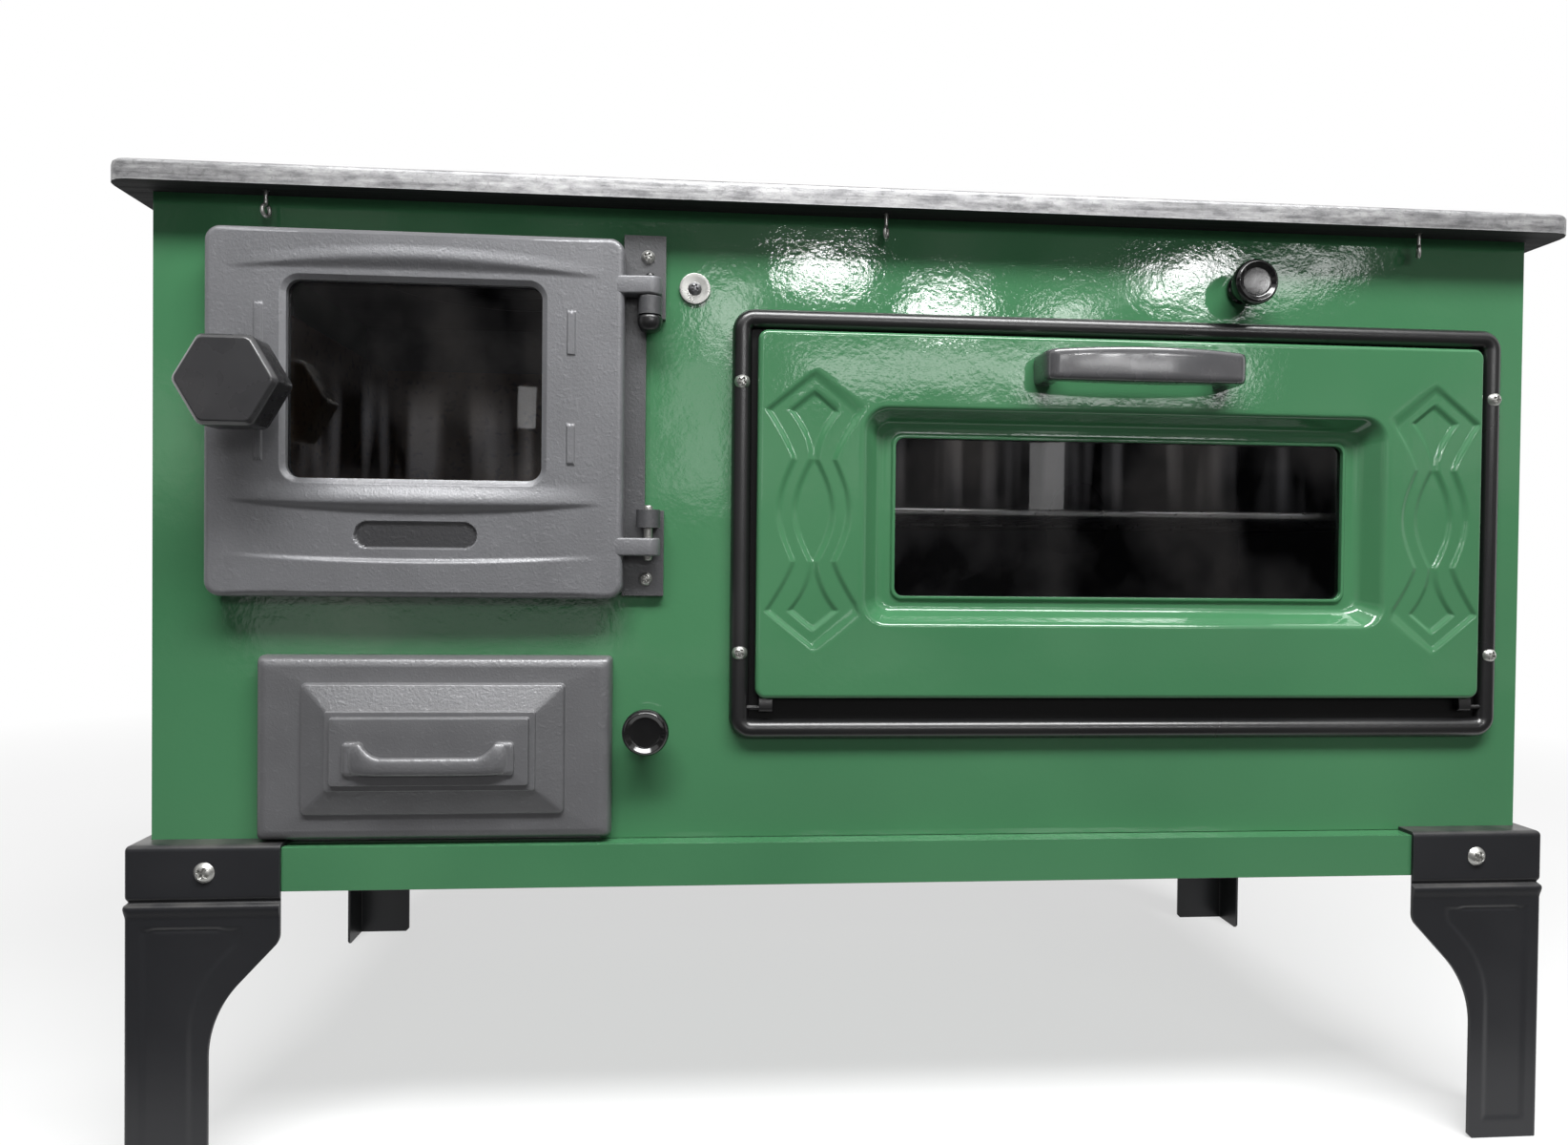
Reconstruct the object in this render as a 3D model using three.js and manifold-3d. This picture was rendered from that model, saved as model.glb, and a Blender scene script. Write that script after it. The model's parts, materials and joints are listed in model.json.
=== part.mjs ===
// A small enamelled wood-burning cookstove: firebox and ash drawer on the left, oven on the right.
// Millimetres, +Z up. The stove faces -Y. Pieces are laid out with x = 0 at the middle of the casing,
// y = 0 on the front panel's outer face and z = 0 on the floor; the last lines centre the whole.
import * as THREE from 'three';
import { mergeVertices } from 'three/addons/utils/BufferGeometryUtils.js';
import Module from 'manifold-3d';

const wasm = await Module();
wasm.setup();

// Clearances and sheet thicknesses that many pieces share
const gap = { seat: 0.3, shank: 0.4, cut: 2, weld: 0.4 };
const sheet = { casing: 1.5, oven: 1.5, leg: 2.2, ash: 1.5, duct: 1.5, frame: 1.5 };

// Casing, tray, legs and plate
const casing = { width: 960, depth: 415, height: 430 };
const tray = { underside: 190, height: 29, frontReach: 14, sideReach: 6.3 };
const leg = {
  frontWidth: 97.8,
  frontFoot: 52.6,
  sideWidth: 82,
  sideFoot: 38,
  shoulder: 56,        // how far below the tray top the sheet keeps its full width
  shoulderRound: 12,
  hollowRound: 71,
  turnDegrees: 43,
  footRound: 3,
  grooveHeight: 3.1,
  grooveBelow: 35.7,   // from the tray top to the groove's lower edge
  grooveDepth: 1,
  panelDepth: 0.8,
  panelMargin: 11.8,
  panelShoulderIn: 26.3,
  panelBelow: 52.5,
  panelFoot: 14,
  screwIn: 50.3,
  screwBelow: 15,
};
const legScrew = { head: 6.7, rise: 3.6, shank: 3, length: 9 };
const plate = {
  sideReach: 19.7, frontReach: 22.7, rearReach: 22.7, edge: 14, slab: 8, corner: 14, round: 3, pocketGap: 0.5,
};
const pot = {
  ring: 128, ledge: 9, seatDepth: 4, lid: 78, lidLedge: 8, fromFront: 205, slotLength: 30, slotWidth: 9,
  slotDepth: 5, slotOut: 48,
};
const flue = {
  outer: 58, wall: 4, lip: 2.3, flange: 74, flangeHeight: 6, fillet: 5, height: 58, fromRear: 70,
};
const hook = {
  wire: 1.3, stem: 1.7, drop: 9, eyeHalf: 2.8, eyeTallHalf: 3.8, sink: 3, frontOf: 10, turnDegrees: 62,
};
const hookIn = { fromLeft: 76, pastMiddle: 6, fromRight: 89 };

// Fire door, its cast frame, hinge and latch
const fireDoor = {
  leftMargin: 41, width: 268.5, topMargin: 25.5, aboveAsh: 39, face: 20, plate: 8, rim: 6, corner: 10, bevel: 2,
  rearGap: 0.5,
};
const fireWindow = {
  leftIn: 51, rightIn: 53.7, topIn: 33.5, bottomIn: 77.5, corner: 9, chamfer: 3.4, chamferDepth: 2,
  glassDepth: 6, glassLap: 5, glass: 4, retainer: 1.6, retainerLip: 3,
};
const fireRelief = { sideIn: 15, topIn: 27, topArch: 9, lowIn: 56, lowArch: 8, depth: 2 };
const badge = { width: 78, height: 17, up: 41, depth: 1.6 };
const rib = { width: 5, depth: 1, sideIn: 34.5, upperIn: 50, upperTall: 28, lowerIn: 89, lowerTall: 26 };
const gasket = { width: 8, fromEdge: 7.5 };
const fireFrame = {
  thickness: 5, underDoor: 6, sideBand: 16, topBand: 18, corner: 6, rightOver: 13.5, collar: 4, collarDepth: 10,
};
const fireHinge = {
  axisOut: 16.5, axisDepth: 14, barrel: 8, arm: 6, pin: 3, lug: 12, lugGap: 1, topIn: 24.5, bottomIn: 29,
  leafRight: 10, leafLeft: 1.5, leafTopOver: 6.5, leafBottomIn: 2, capHeight: 11, cap: 8.2, tail: 3, pinShows: 7,
};
const fireScrew = { head: 4.7, rise: 3, shank: 2, length: 9, topDown: 14.6, bottomUp: 11.3, fromAxis: 2 };
const latch = {
  corner: 31.5, depth: 27, bevel: 3, standOff: 19, spindle: 5, bore: 13, boss: 11, bossRise: 4, fromEdge: 34,
  upShare: 0.553, tongue: 34, tongueWidth: 12, tongueThick: 6, behind: 2,
};

// Ash drawer and the grate shaker beside it
const ashFront = {
  leftMargin: 70.8, width: 231.4, bottomMargin: 3.5, height: 122.5, face: 14, edge: 6.5, bevel: 6, wall: 6,
  rearGap: 0.5, baseInX: 30.2, baseInZ: 17.7, slopeX: 18.2, slopeZ: 17.7, rise: 10, tierIn: 3.5, tierRise: 3,
  tierSlope: 1, hollowIn: 18,
};
const ashHandle = {
  half: 54.7, reach: 35, pad: 13, padTall: 22, padThick: 3, bar: 12, thick: 7, below: 4, power: 3,
};
const ashMouth = { sideIn: 7.7, topIn: 11 };
const ashPan = { sideGap: 1.2, height: 107, rearSpace: 62, floorGap: 1 };
const knob = {
  rim: 15.6, neck: 9.5, foot: 11, length: 24, footHeight: 2.5, neckHeight: 5, rimHeight: 16.5, round: 2,
  dish: 13.2, dishFloor: 10.2, dishDepth: 2.4, bore: 14, frontGap: 1.2,
};
const shaker = {
  fromAsh: 23.6, up: 76.1, rod: 4, reach: 200, armDrop: 10, pastLug: 2, travel: 30, notchGap: 3,
};

// Oven: frame round the mouth, drop-down door, box and rack
const ovenFrame = {
  fromFireDoor: 72.3, rightMargin: 20.8, bottomMargin: 68.8, topMargin: 65.8, corner: 15, bead: 13.5,
  beadRise: 9,
};
const ovenMouth = { sideIn: 38.7, topIn: 33.2, bottomIn: 52.2, corner: 10 };
const ovenDoor = {
  sideGap: 3.9, topGap: 1.7, bottomGap: 15.2, face: 12, corner: 7, sheet: 1.5, round: 3, rearGap: 1.2,
};
const recess = {
  sideIn: 73.5, topIn: 51.5, bottomIn: 51.5, corner: 16, depth: 14.6, slopeX: 12, slopeZ: 9, ledgeX: 10,
  ledgeZ: 8, lip: 2, lipDepth: 1.8, floorCorner: 10, windowCorner: 6,
};
const ovenGlass = { thickness: 4, lap: 8 };
const liner = { clear: 3.5, sheet: 1.5 };
const ovenHinge = { axisDepth: 5.3, axisDown: 6.7, pin: 1.6, lug: 3.2, lugWidth: 9, lugIn: 3, sink: 6 };
const ovenHandle = { width: 141, height: 24, reach: 36, endReach: 29, thick: 13, foot: 11, belowTop: 12 };
const ovenScrew = {
  head: 5.2, rise: 3.6, shank: 2, length: 13, seatDepth: 1.6, topIn: 50.7, bottomIn: 59.7,
};
const ovenBox = { sideOver: 10, heightOver: 15, rearSpace: 115, flange: 10, ledge: 8, ledgeThick: 3 };
const rack = {
  wire: 3, rod: 1.75, sideGap: 2, frontSpace: 10, rearSpace: 12, bars: 13, up: 107.5, corner: 16,
};

// Firebox, grate, flue duct and damper
const stay = {
  fromFireDoor: 46.2, belowRim: 52.7, washer: 10.6, washerThick: 1.5,
  head: 4.6, rise: 2.8, shank: 3, length: 24,
};
const brick = { thickness: 30, belowRim: 45, bridgeBelowRim: 41, frontSpace: 4 };
const bed = { thickness: 12, aboveAsh: 27, slideGap: 0.5 };
const grate = {
  width: 200, length: 240, thickness: 5.7, ledge: 6, slots: 9, slotWidth: 11, margin: 12, frontSpace: 80,
  lugWidth: 12, lugLength: 24, lugBelow: 8, lugGap: 1.5,
};
const duct = { width: 140, lap: 15, windowWidth: 84, windowHeight: 52 };
const damper = {
  fromRight: 215.5, belowRim: 41, rod: 4, plateWidth: 104, plateHeight: 68, plate: 2.5, tail: 5,
};

// How finely the round shapes are cut
const counts = {
  cornerSteps: 4, arcSteps: 6, rodSides: 12, hexagonSides: 6, knobSides: 20, largeSides: 36, beadSteps: 6,
  wireSides: 6, bowSteps: 14, eyeSteps: 12, edgeSteps: 3,
};

// Places that follow from the sizes
const left = -casing.width / 2;
const right = casing.width / 2;
const rearInside = casing.depth - sheet.casing - gap.seat;
const trayTop = tray.underside + tray.height;
const rimBottom = trayTop + casing.height;
const plateTop = rimBottom + plate.edge;
const pocketTop = plateTop - plate.slab;
const panelBottom = trayTop + gap.seat;
const panelTop = pocketTop - gap.seat;
const behindPanel = sheet.casing + gap.seat;

const ash = boxFrom(
  left + ashFront.leftMargin, left + ashFront.leftMargin + ashFront.width,
  trayTop + ashFront.bottomMargin, trayTop + ashFront.bottomMargin + ashFront.height,
);
const fire = boxFrom(
  left + fireDoor.leftMargin, left + fireDoor.leftMargin + fireDoor.width,
  ash.top + fireDoor.aboveAsh, rimBottom - fireDoor.topMargin,
);
const frameOuter = boxFrom(
  fire.left + fireFrame.underDoor, fire.right + fireFrame.rightOver,
  fire.bottom + fireFrame.underDoor, fire.top - fireFrame.underDoor,
);
const fireMouth = boxFrom(
  frameOuter.left + fireFrame.sideBand, fire.right - fireFrame.sideBand,
  frameOuter.bottom + fireFrame.topBand, frameOuter.top - fireFrame.topBand,
);
const window = boxFrom(
  fire.left + fireWindow.leftIn, fire.right - fireWindow.rightIn,
  fire.bottom + fireWindow.bottomIn, fire.top - fireWindow.topIn,
);
const hingeX = fire.right + fireHinge.axisOut;
const hingeY = -fireHinge.axisDepth;
const doorLugTop = fire.top - fireHinge.topIn;
const frameLugTop = doorLugTop - fireHinge.lug - fireHinge.lugGap;
const doorLugLow = fire.bottom + fireHinge.bottomIn;
const frameLugLow = doorLugLow + fireHinge.lug + fireHinge.pinShows;
const leafTop = fire.top + fireHinge.leafTopOver;
const leafBottom = fire.bottom + fireHinge.leafBottomIn;
const latchX = fire.left + latch.fromEdge;
const latchZ = fire.bottom + latch.upShare * fire.height;
const knobBack = -fireDoor.face - latch.standOff;

const ovenRim = boxFrom(
  fire.right + ovenFrame.fromFireDoor, right - ovenFrame.rightMargin,
  trayTop + ovenFrame.bottomMargin, rimBottom - ovenFrame.topMargin,
);
const mouth = boxFrom(
  ovenRim.left + ovenMouth.sideIn, ovenRim.right - ovenMouth.sideIn,
  ovenRim.bottom + ovenMouth.bottomIn, ovenRim.top - ovenMouth.topIn,
);
const oven = boxFrom(
  ovenRim.left + ovenFrame.bead + ovenDoor.sideGap, ovenRim.right - ovenFrame.bead - ovenDoor.sideGap,
  ovenRim.bottom + ovenFrame.bead + ovenDoor.bottomGap, ovenRim.top - ovenFrame.bead - ovenDoor.topGap,
);
const recessEdge = boxFrom(
  oven.left + recess.sideIn, oven.right - recess.sideIn, oven.bottom + recess.bottomIn, oven.top - recess.topIn,
);
const ledgeY = -gap.seat - sheet.frame;
const ovenRear = ledgeY - ovenDoor.rearGap;
const ovenAxisY = -ovenHinge.axisDepth;
const ovenAxisZ = oven.bottom - ovenHinge.axisDown;
const cavity = boxFrom(
  mouth.left - ovenBox.sideOver, mouth.right + ovenBox.sideOver,
  mouth.bottom - ovenBox.heightOver, mouth.top + ovenBox.heightOver,
);
const cavityRear = casing.depth - ovenBox.rearSpace;
const ovenTop = cavity.top + sheet.oven;
const rackZ = mouth.bottom + rack.up;

const stayX = fire.right + stay.fromFireDoor;
const stayZ = rimBottom - stay.belowRim;
const bridge = { left: stayX - brick.thickness / 2, right: stayX + brick.thickness / 2 };
const bedBottom = ash.top + bed.aboveAsh;
const bedTop = bedBottom + bed.thickness;
const brickTop = rimBottom - brick.belowRim;
const sleeve = { left: ash.left + ashMouth.sideIn, right: ash.right - ashMouth.sideIn };
const shakerX = ash.right + shaker.fromAsh;
const shakerZ = trayTop + shaker.up;
const armZ = bedBottom - shaker.armDrop;
const grateHalf = grate.width / 2;
const lugRight = ash.midX + grateHalf - grate.ledge - grate.lugGap;
const damperX = right - damper.fromRight;
const damperZ = rimBottom - damper.belowRim;
const flueY = casing.depth - flue.fromRear;
const ductFront = cavityRear - duct.lap;

const paint = (color, roughness, metalness) => new THREE.MeshStandardMaterial({
  color, roughness, metalness, flatShading: true,
});
const finish = {
  enamel: paint(0x4a8059, 0.18, 0),
  blackEnamel: paint(0x17171a, 0.2, 0),
  greyCasting: paint(0x66676c, 0.55, 0.3),
  darkCasting: paint(0x3f4043, 0.55, 0.3),
  legPaint: paint(0x303034, 0.4, 0.1),
  plateIron: paint(0x8f9092, 0.5, 0.7),
  rawSheet: paint(0x6d6f73, 0.5, 0.8),
  zinc: paint(0xc8c8c4, 0.35, 0.9),
  bakelite: paint(0x101012, 0.25, 0),
  firebrick: paint(0xb08a5e, 0.9, 0),
  rope: paint(0xcfcabd, 0.95, 0),
  glass: new THREE.MeshStandardMaterial({ color: 0x1c2126, roughness: 0.08, transparent: true, opacity: 0.4 }),
};

// A rectangle of the front view, with its middle
function boxFrom(x0, x1, z0, z1) {
  return {
    left: x0, right: x1, bottom: z0, top: z1,
    width: x1 - x0, height: z1 - z0, midX: (x0 + x1) / 2, midZ: (z0 + z1) / 2,
  };
}

// The same rectangle drawn in by dx and dz on every side (outwards where they are negative)
function inset(r, dx, dz = dx) {
  return boxFrom(r.left + dx, r.right - dx, r.bottom + dz, r.top - dz);
}

// Six times the volume that the triangles enclose; negative when they face inwards
function signedVolume(points, triangles) {
  const corner = (i) => new THREE.Vector3().fromArray(points, 3 * i);
  let sum = 0;
  for (let t = 0; t < triangles.length; t += 3) {
    const [a, b, c] = [corner(triangles[t]), corner(triangles[t + 1]), corner(triangles[t + 2])];
    sum += a.dot(b.cross(c));
  }
  return sum;
}

// Any closed geometry as a solid that can be joined and cut
function solid(geometry) {
  const bare = new THREE.BufferGeometry();
  bare.setAttribute('position', geometry.attributes.position.clone());
  if (geometry.index) bare.setIndex(geometry.index.clone());
  const merged = mergeVertices(bare);
  const points = merged.attributes.position.array;
  const kept = [];
  const index = merged.index.array;
  for (let t = 0; t < index.length; t += 3) {
    const [a, b, c] = [index[t], index[t + 1], index[t + 2]];
    if (a !== b && b !== c && c !== a) kept.push(a, b, c);
  }
  if (signedVolume(points, kept) < 0) kept.reverse();
  return new wasm.Manifold(new wasm.Mesh({
    numProp: 3, vertProperties: new Float32Array(points), triVerts: new Uint32Array(kept),
  }));
}

function block(x0, x1, y0, y1, z0, z1) {
  const geometry = new THREE.BoxGeometry(Math.abs(x1 - x0), Math.abs(y1 - y0), Math.abs(z1 - z0));
  return solid(geometry.translate((x0 + x1) / 2, (y0 + y1) / 2, (z0 + z1) / 2));
}

// The corners of a rectangle with rounded corners, as [u, v] pairs
function roundedRect(r, radius) {
  const round = Math.max(Math.min(radius, r.width / 2, r.height / 2), gap.weld);
  const centres = [
    [r.right - round, r.top - round], [r.left + round, r.top - round],
    [r.left + round, r.bottom + round], [r.right - round, r.bottom + round],
  ];
  const points = [];
  centres.forEach(([u, v], quarter) => {
    for (let k = 0; k <= counts.cornerSteps; k += 1) {
      const angle = (quarter + k / counts.cornerSteps) * Math.PI / 2;
      points.push([u + round * Math.cos(angle), v + round * Math.sin(angle)]);
    }
  });
  return points;
}

const sharpRect = (r) => [[r.right, r.top], [r.left, r.top], [r.left, r.bottom], [r.right, r.bottom]];
const atY = (points, y) => points.map(([x, z]) => [x, y, z]);
const atZ = (points, z) => points.map(([x, y]) => [x, y, z]);

// A skin over rings of like count: its ends are capped, or the last ring joins the first
function skin(rings, joined = false) {
  const count = rings[0].length;
  const positions = rings.flat(2);
  const index = [];
  const pairs = joined ? rings.length : rings.length - 1;
  for (let k = 0; k < pairs; k += 1) {
    const a = k * count;
    const b = ((k + 1) % rings.length) * count;
    for (let i = 0; i < count; i += 1) {
      const j = (i + 1) % count;
      index.push(a + i, a + j, b + j, a + i, b + j, b + i);
    }
  }
  if (!joined) {
    [[0, false], [rings.length - 1, true]].forEach(([k, last]) => {
      const middle = positions.length / 3;
      const sum = rings[k].reduce((m, p) => m.map((value, axis) => value + p[axis]), [0, 0, 0]);
      positions.push(...sum.map((value) => value / count));
      for (let i = 0; i < count; i += 1) {
        const a = k * count + i;
        const b = k * count + (i + 1) % count;
        index.push(...(last ? [a, b, middle] : [b, a, middle]));
      }
    });
  }
  const geometry = new THREE.BufferGeometry();
  geometry.setAttribute('position', new THREE.Float32BufferAttribute(positions, 3));
  geometry.setIndex(index);
  return solid(geometry);
}

function extrude(outline, depth, holes = []) {
  const shape = new THREE.Shape(outline.map(([u, v]) => new THREE.Vector2(u, v)));
  shape.holes = holes.map((hole) => new THREE.Path(hole.map(([u, v]) => new THREE.Vector2(u, v))));
  return new THREE.ExtrudeGeometry(shape, { depth, bevelEnabled: false });
}

// A flat outline of the front view, from y0 back to y1
function frontSlab(outline, y0, y1, holes = []) {
  return solid(extrude(outline, y1 - y0, holes).rotateX(Math.PI / 2).translate(0, y1, 0));
}

// A flat outline of the top view, from z0 up to z1
function floorSlab(outline, z0, z1) {
  return solid(extrude(outline, z1 - z0).translate(0, 0, z0));
}

// A flat outline of the side view, [y, z], from x0 to x1
function sideSlab(outline, x0, x1) {
  const turn = new THREE.Matrix4().makeBasis(
    new THREE.Vector3(0, 1, 0), new THREE.Vector3(0, 0, 1), new THREE.Vector3(1, 0, 0),
  );
  return solid(extrude(outline, x1 - x0).applyMatrix4(turn).translate(x0, 0, 0));
}

// Round bars along each axis, each given by its middle in the other two
function barY(x, z, radius, y0, y1, sides = counts.rodSides) {
  return solid(new THREE.CylinderGeometry(radius, radius, y1 - y0, sides).translate(x, (y0 + y1) / 2, z));
}

function barX(y, z, radius, x0, x1, sides = counts.rodSides) {
  const geometry = new THREE.CylinderGeometry(radius, radius, x1 - x0, sides).rotateZ(Math.PI / 2);
  return solid(geometry.translate((x0 + x1) / 2, y, z));
}

function barZ(x, y, radius, z0, z1, sides = counts.rodSides) {
  const geometry = new THREE.CylinderGeometry(radius, radius, z1 - z0, sides).rotateX(Math.PI / 2);
  return solid(geometry.translate(x, y, (z0 + z1) / 2));
}

// A profile of [radius, y] turned about an axis along y, or of [radius, z] about one along z
function turned(profile, sides = counts.rodSides) {
  return new THREE.LatheGeometry(profile.map(([r, h]) => new THREE.Vector2(r, h)), sides);
}

function circle(x, z, radius) {
  return Array.from({ length: counts.rodSides }, (_, k) => {
    const angle = (2 * Math.PI * k) / counts.rodSides;
    return [x + radius * Math.cos(angle), z + radius * Math.sin(angle)];
  });
}

const joinAll = (pieces) => pieces.reduce((sum, piece) => sum.add(piece));
const cutAll = (body, tools) => tools.reduce((rest, tool) => rest.subtract(tool), body);

const stove = new THREE.Group();

function addPiece(name, piece, material, place = [0, 0, 0], turn = 0) {
  const { vertProperties, triVerts } = piece.getMesh();
  const geometry = new THREE.BufferGeometry();
  geometry.setAttribute('position', new THREE.BufferAttribute(new Float32Array(vertProperties), 3));
  geometry.setIndex(new THREE.BufferAttribute(new Uint32Array(triVerts), 1));
  geometry.computeVertexNormals();
  const mesh = new THREE.Mesh(geometry, material);
  mesh.name = name;
  mesh.position.set(...place);
  mesh.rotation.z = turn;
  stove.add(mesh);
}

// Screws all have a domed head on a plain shank that points into the stove
const domeShares = [[0, 1], [0.6, 0.82], [0.92, 0.42], [1, 0]];

function screw(size) {
  const dome = domeShares.map(([across, up]) => [across * size.head, -up * size.rise]);
  return solid(turned([...dome, [size.shank, 0], [size.shank, size.length], [0, size.length]]));
}

const ovenScrewPlaces = {
  upper_left: [ovenRim.left + ovenFrame.bead / 2, ovenRim.top - ovenScrew.topIn],
  upper_right: [ovenRim.right - ovenFrame.bead / 2, ovenRim.top - ovenScrew.topIn],
  lower_left: [ovenRim.left + ovenFrame.bead / 2, ovenRim.bottom + ovenScrew.bottomIn],
  lower_right: [ovenRim.right - ovenFrame.bead / 2, ovenRim.bottom + ovenScrew.bottomIn],
};
const fireScrewPlaces = {
  top: [hingeX - fireScrew.fromAxis, leafTop - fireScrew.topDown],
  bottom: [hingeX - fireScrew.fromAxis, leafBottom + fireScrew.bottomUp],
};

// Casing: a plain sheet box, open at the front where the frames and the ash drawer go
const throughFront = (outline) => frontSlab(outline, -gap.cut, sheet.casing + gap.cut);
const screwHoles = (places, size) => Object.values(places).map(([x, z]) => (
  throughFront(circle(x, z, size.shank + gap.shank))
));
const ashOpening = boxFrom(sleeve.left, sleeve.right, trayTop, ash.top - ashMouth.topIn);

addPiece('front_panel', cutAll(block(left, right, 0, sheet.casing, panelBottom, panelTop), [
  throughFront(roundedRect(inset(fireMouth, -fireFrame.collar - gap.seat), fireFrame.corner)),
  throughFront(sharpRect(ashOpening)),
  throughFront(roundedRect(mouth, ovenMouth.corner)),
  throughFront(circle(shakerX, shakerZ, shaker.rod + gap.shank)),
  throughFront(circle(damperX, damperZ, damper.rod + gap.shank)),
  throughFront(circle(stayX, stayZ, stay.shank + gap.shank)),
  ...screwHoles(ovenScrewPlaces, ovenScrew),
  ...screwHoles(fireScrewPlaces, fireScrew),
]), finish.enamel);
addPiece('rear_panel', block(
  left, right, casing.depth - sheet.casing, casing.depth, panelBottom, panelTop,
), finish.rawSheet);
addPiece('left_side_panel', block(
  left, left + sheet.casing, behindPanel, rearInside, panelBottom, panelTop,
), finish.enamel);
addPiece('right_side_panel', block(
  right - sheet.casing, right, behindPanel, rearInside, panelBottom, panelTop,
), finish.enamel);

// Tray: a pan turned upside down, with the legs screwed to its front and rear walls
const trayHalf = right + tray.sideReach;
const trayRear = casing.depth + tray.frontReach;
const legOuter = trayHalf + gap.seat + sheet.leg;
const legScrewX = legOuter - leg.screwIn;
const legScrewZ = trayTop - leg.screwBelow;
const legFace = tray.frontReach + gap.seat + sheet.leg;
const legScrewHole = (x) => (
  barY(x, legScrewZ, legScrew.shank + gap.shank, -legFace - gap.cut, casing.depth + legFace + gap.cut)
);
addPiece('base_tray', cutAll(
  block(-trayHalf, trayHalf, -tray.frontReach, trayRear, tray.underside, trayTop),
  [
    block(
      sheet.casing - trayHalf, trayHalf - sheet.casing, sheet.casing - tray.frontReach,
      trayRear - sheet.casing, tray.underside - gap.cut, trayTop - sheet.casing,
    ),
    legScrewHole(-legScrewX),
    legScrewHole(legScrewX),
  ],
), finish.enamel);

// Edge of a leg's sheet, from the shoulder down to the foot: a round shoulder, a slope, a hollow
function legEdge(width, foot, top, bottom) {
  const turn = THREE.MathUtils.degToRad(leg.turnDegrees);
  const shoulderZ = trayTop - leg.shoulder;
  const rounds = leg.shoulderRound + leg.hollowRound;
  const across = Math.max(width - foot - rounds * (1 - Math.cos(turn)), gap.weld);
  const hollowZ = shoulderZ - rounds * Math.sin(turn) - across / Math.tan(turn);
  const points = [[width, top]];
  for (let k = 0; k <= counts.arcSteps; k += 1) {
    const angle = (turn * k) / counts.arcSteps;
    points.push([
      width - leg.shoulderRound * (1 - Math.cos(angle)), shoulderZ - leg.shoulderRound * Math.sin(angle),
    ]);
  }
  for (let k = counts.arcSteps; k >= 0; k -= 1) {
    const angle = (turn * k) / counts.arcSteps;
    points.push([
      foot + leg.hollowRound * (1 - Math.cos(angle)), hollowZ + leg.hollowRound * Math.sin(angle),
    ]);
  }
  points.push([foot, bottom + leg.footRound], [foot - leg.footRound, bottom]);
  return points;
}

// One leg: an L of sheet under a corner of the tray, lipped over its top. side is -1 on the left and
// +1 on the right, end is -1 at the front and +1 at the rear
function legPiece(side, end) {
  const x = (inward) => side * (legOuter - inward);
  const y = (inward) => (end < 0 ? inward - legFace : casing.depth + legFace - inward);
  const top = trayTop + gap.seat + sheet.leg;
  const wide = [[0, 0], [0, top], ...legEdge(leg.frontWidth, leg.frontFoot, top, 0)];
  const narrow = [[0, 0], [0, top], ...legEdge(leg.sideWidth, leg.sideFoot, top, 0)];
  const panel = [
    [leg.panelMargin, leg.panelFoot], [leg.panelMargin, trayTop - leg.panelBelow],
    ...legEdge(
      leg.frontWidth - leg.panelShoulderIn, leg.frontFoot - leg.panelMargin,
      trayTop - leg.panelBelow, leg.panelFoot,
    ),
  ];
  const ends = (depth0, depth1) => [y(depth0), y(depth1)].sort((a, b) => a - b);
  const sides = (depth0, depth1) => [x(depth0), x(depth1)].sort((a, b) => a - b);
  const inX = (outline) => outline.map(([u, z]) => [x(u), z]);
  const inY = (outline) => outline.map(([v, z]) => [y(v), z]);
  const body = joinAll([
    frontSlab(inX(wide), ...ends(0, sheet.leg)),
    sideSlab(inY(narrow), ...sides(0, sheet.leg)),
    block(x(0), x(leg.frontWidth), y(0), y(legFace - gap.seat), top - sheet.leg, top),
    block(x(0), x(legOuter - right - gap.seat), y(0), y(leg.sideWidth), top - sheet.leg, top),
  ]);
  const grooveLow = trayTop - leg.grooveBelow;
  const grooveHigh = grooveLow + leg.grooveHeight;
  return cutAll(body, [
    frontSlab(inX(panel), ...ends(-gap.cut, leg.panelDepth)),
    block(x(-gap.cut), x(leg.frontWidth + gap.cut), y(-gap.cut), y(leg.grooveDepth), grooveLow, grooveHigh),
    block(x(-gap.cut), x(leg.grooveDepth), y(-gap.cut), y(leg.sideWidth + gap.cut), grooveLow, grooveHigh),
    legScrewHole(side * legScrewX),
  ]);
}

const legScrewPiece = screw(legScrew);
[['front', -1], ['rear', 1]].forEach(([endName, end]) => {
  [['left', -1], ['right', 1]].forEach(([sideName, side]) => {
    addPiece(`leg_${endName}_${sideName}`, legPiece(side, end), finish.legPaint);
    const face = end < 0 ? -legFace - gap.seat : casing.depth + legFace + gap.seat;
    addPiece(
      `leg_screw_${endName}_${sideName}`, legScrewPiece, finish.zinc,
      [side * legScrewX, face, legScrewZ], end < 0 ? 0 : Math.PI,
    );
  });
});

// Cooking plate with its pot hole, and the ring and lid that lift out of it
const potX = ash.midX;
const potRest = plateTop - pot.seatDepth;
const flueX = damperX;
const plateEdge = boxFrom(
  left - plate.sideReach, right + plate.sideReach, -plate.frontReach, casing.depth + plate.rearReach,
);
const roundingRings = Array.from({ length: counts.edgeSteps + 1 }, (_, k) => {
  const angle = (Math.PI / 2) * (k / counts.edgeSteps);
  const drawnIn = plate.round * (1 - Math.cos(angle));
  return atZ(
    roundedRect(inset(plateEdge, drawnIn), plate.corner - drawnIn),
    plateTop - plate.round * (1 - Math.sin(angle)),
  );
});
const underCasing = boxFrom(
  left - plate.pocketGap, right + plate.pocketGap, -plate.pocketGap, casing.depth + plate.pocketGap,
);
const hookPlaces = {
  left: left + hookIn.fromLeft, middle: hookIn.pastMiddle, right: right - hookIn.fromRight,
};

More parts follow.
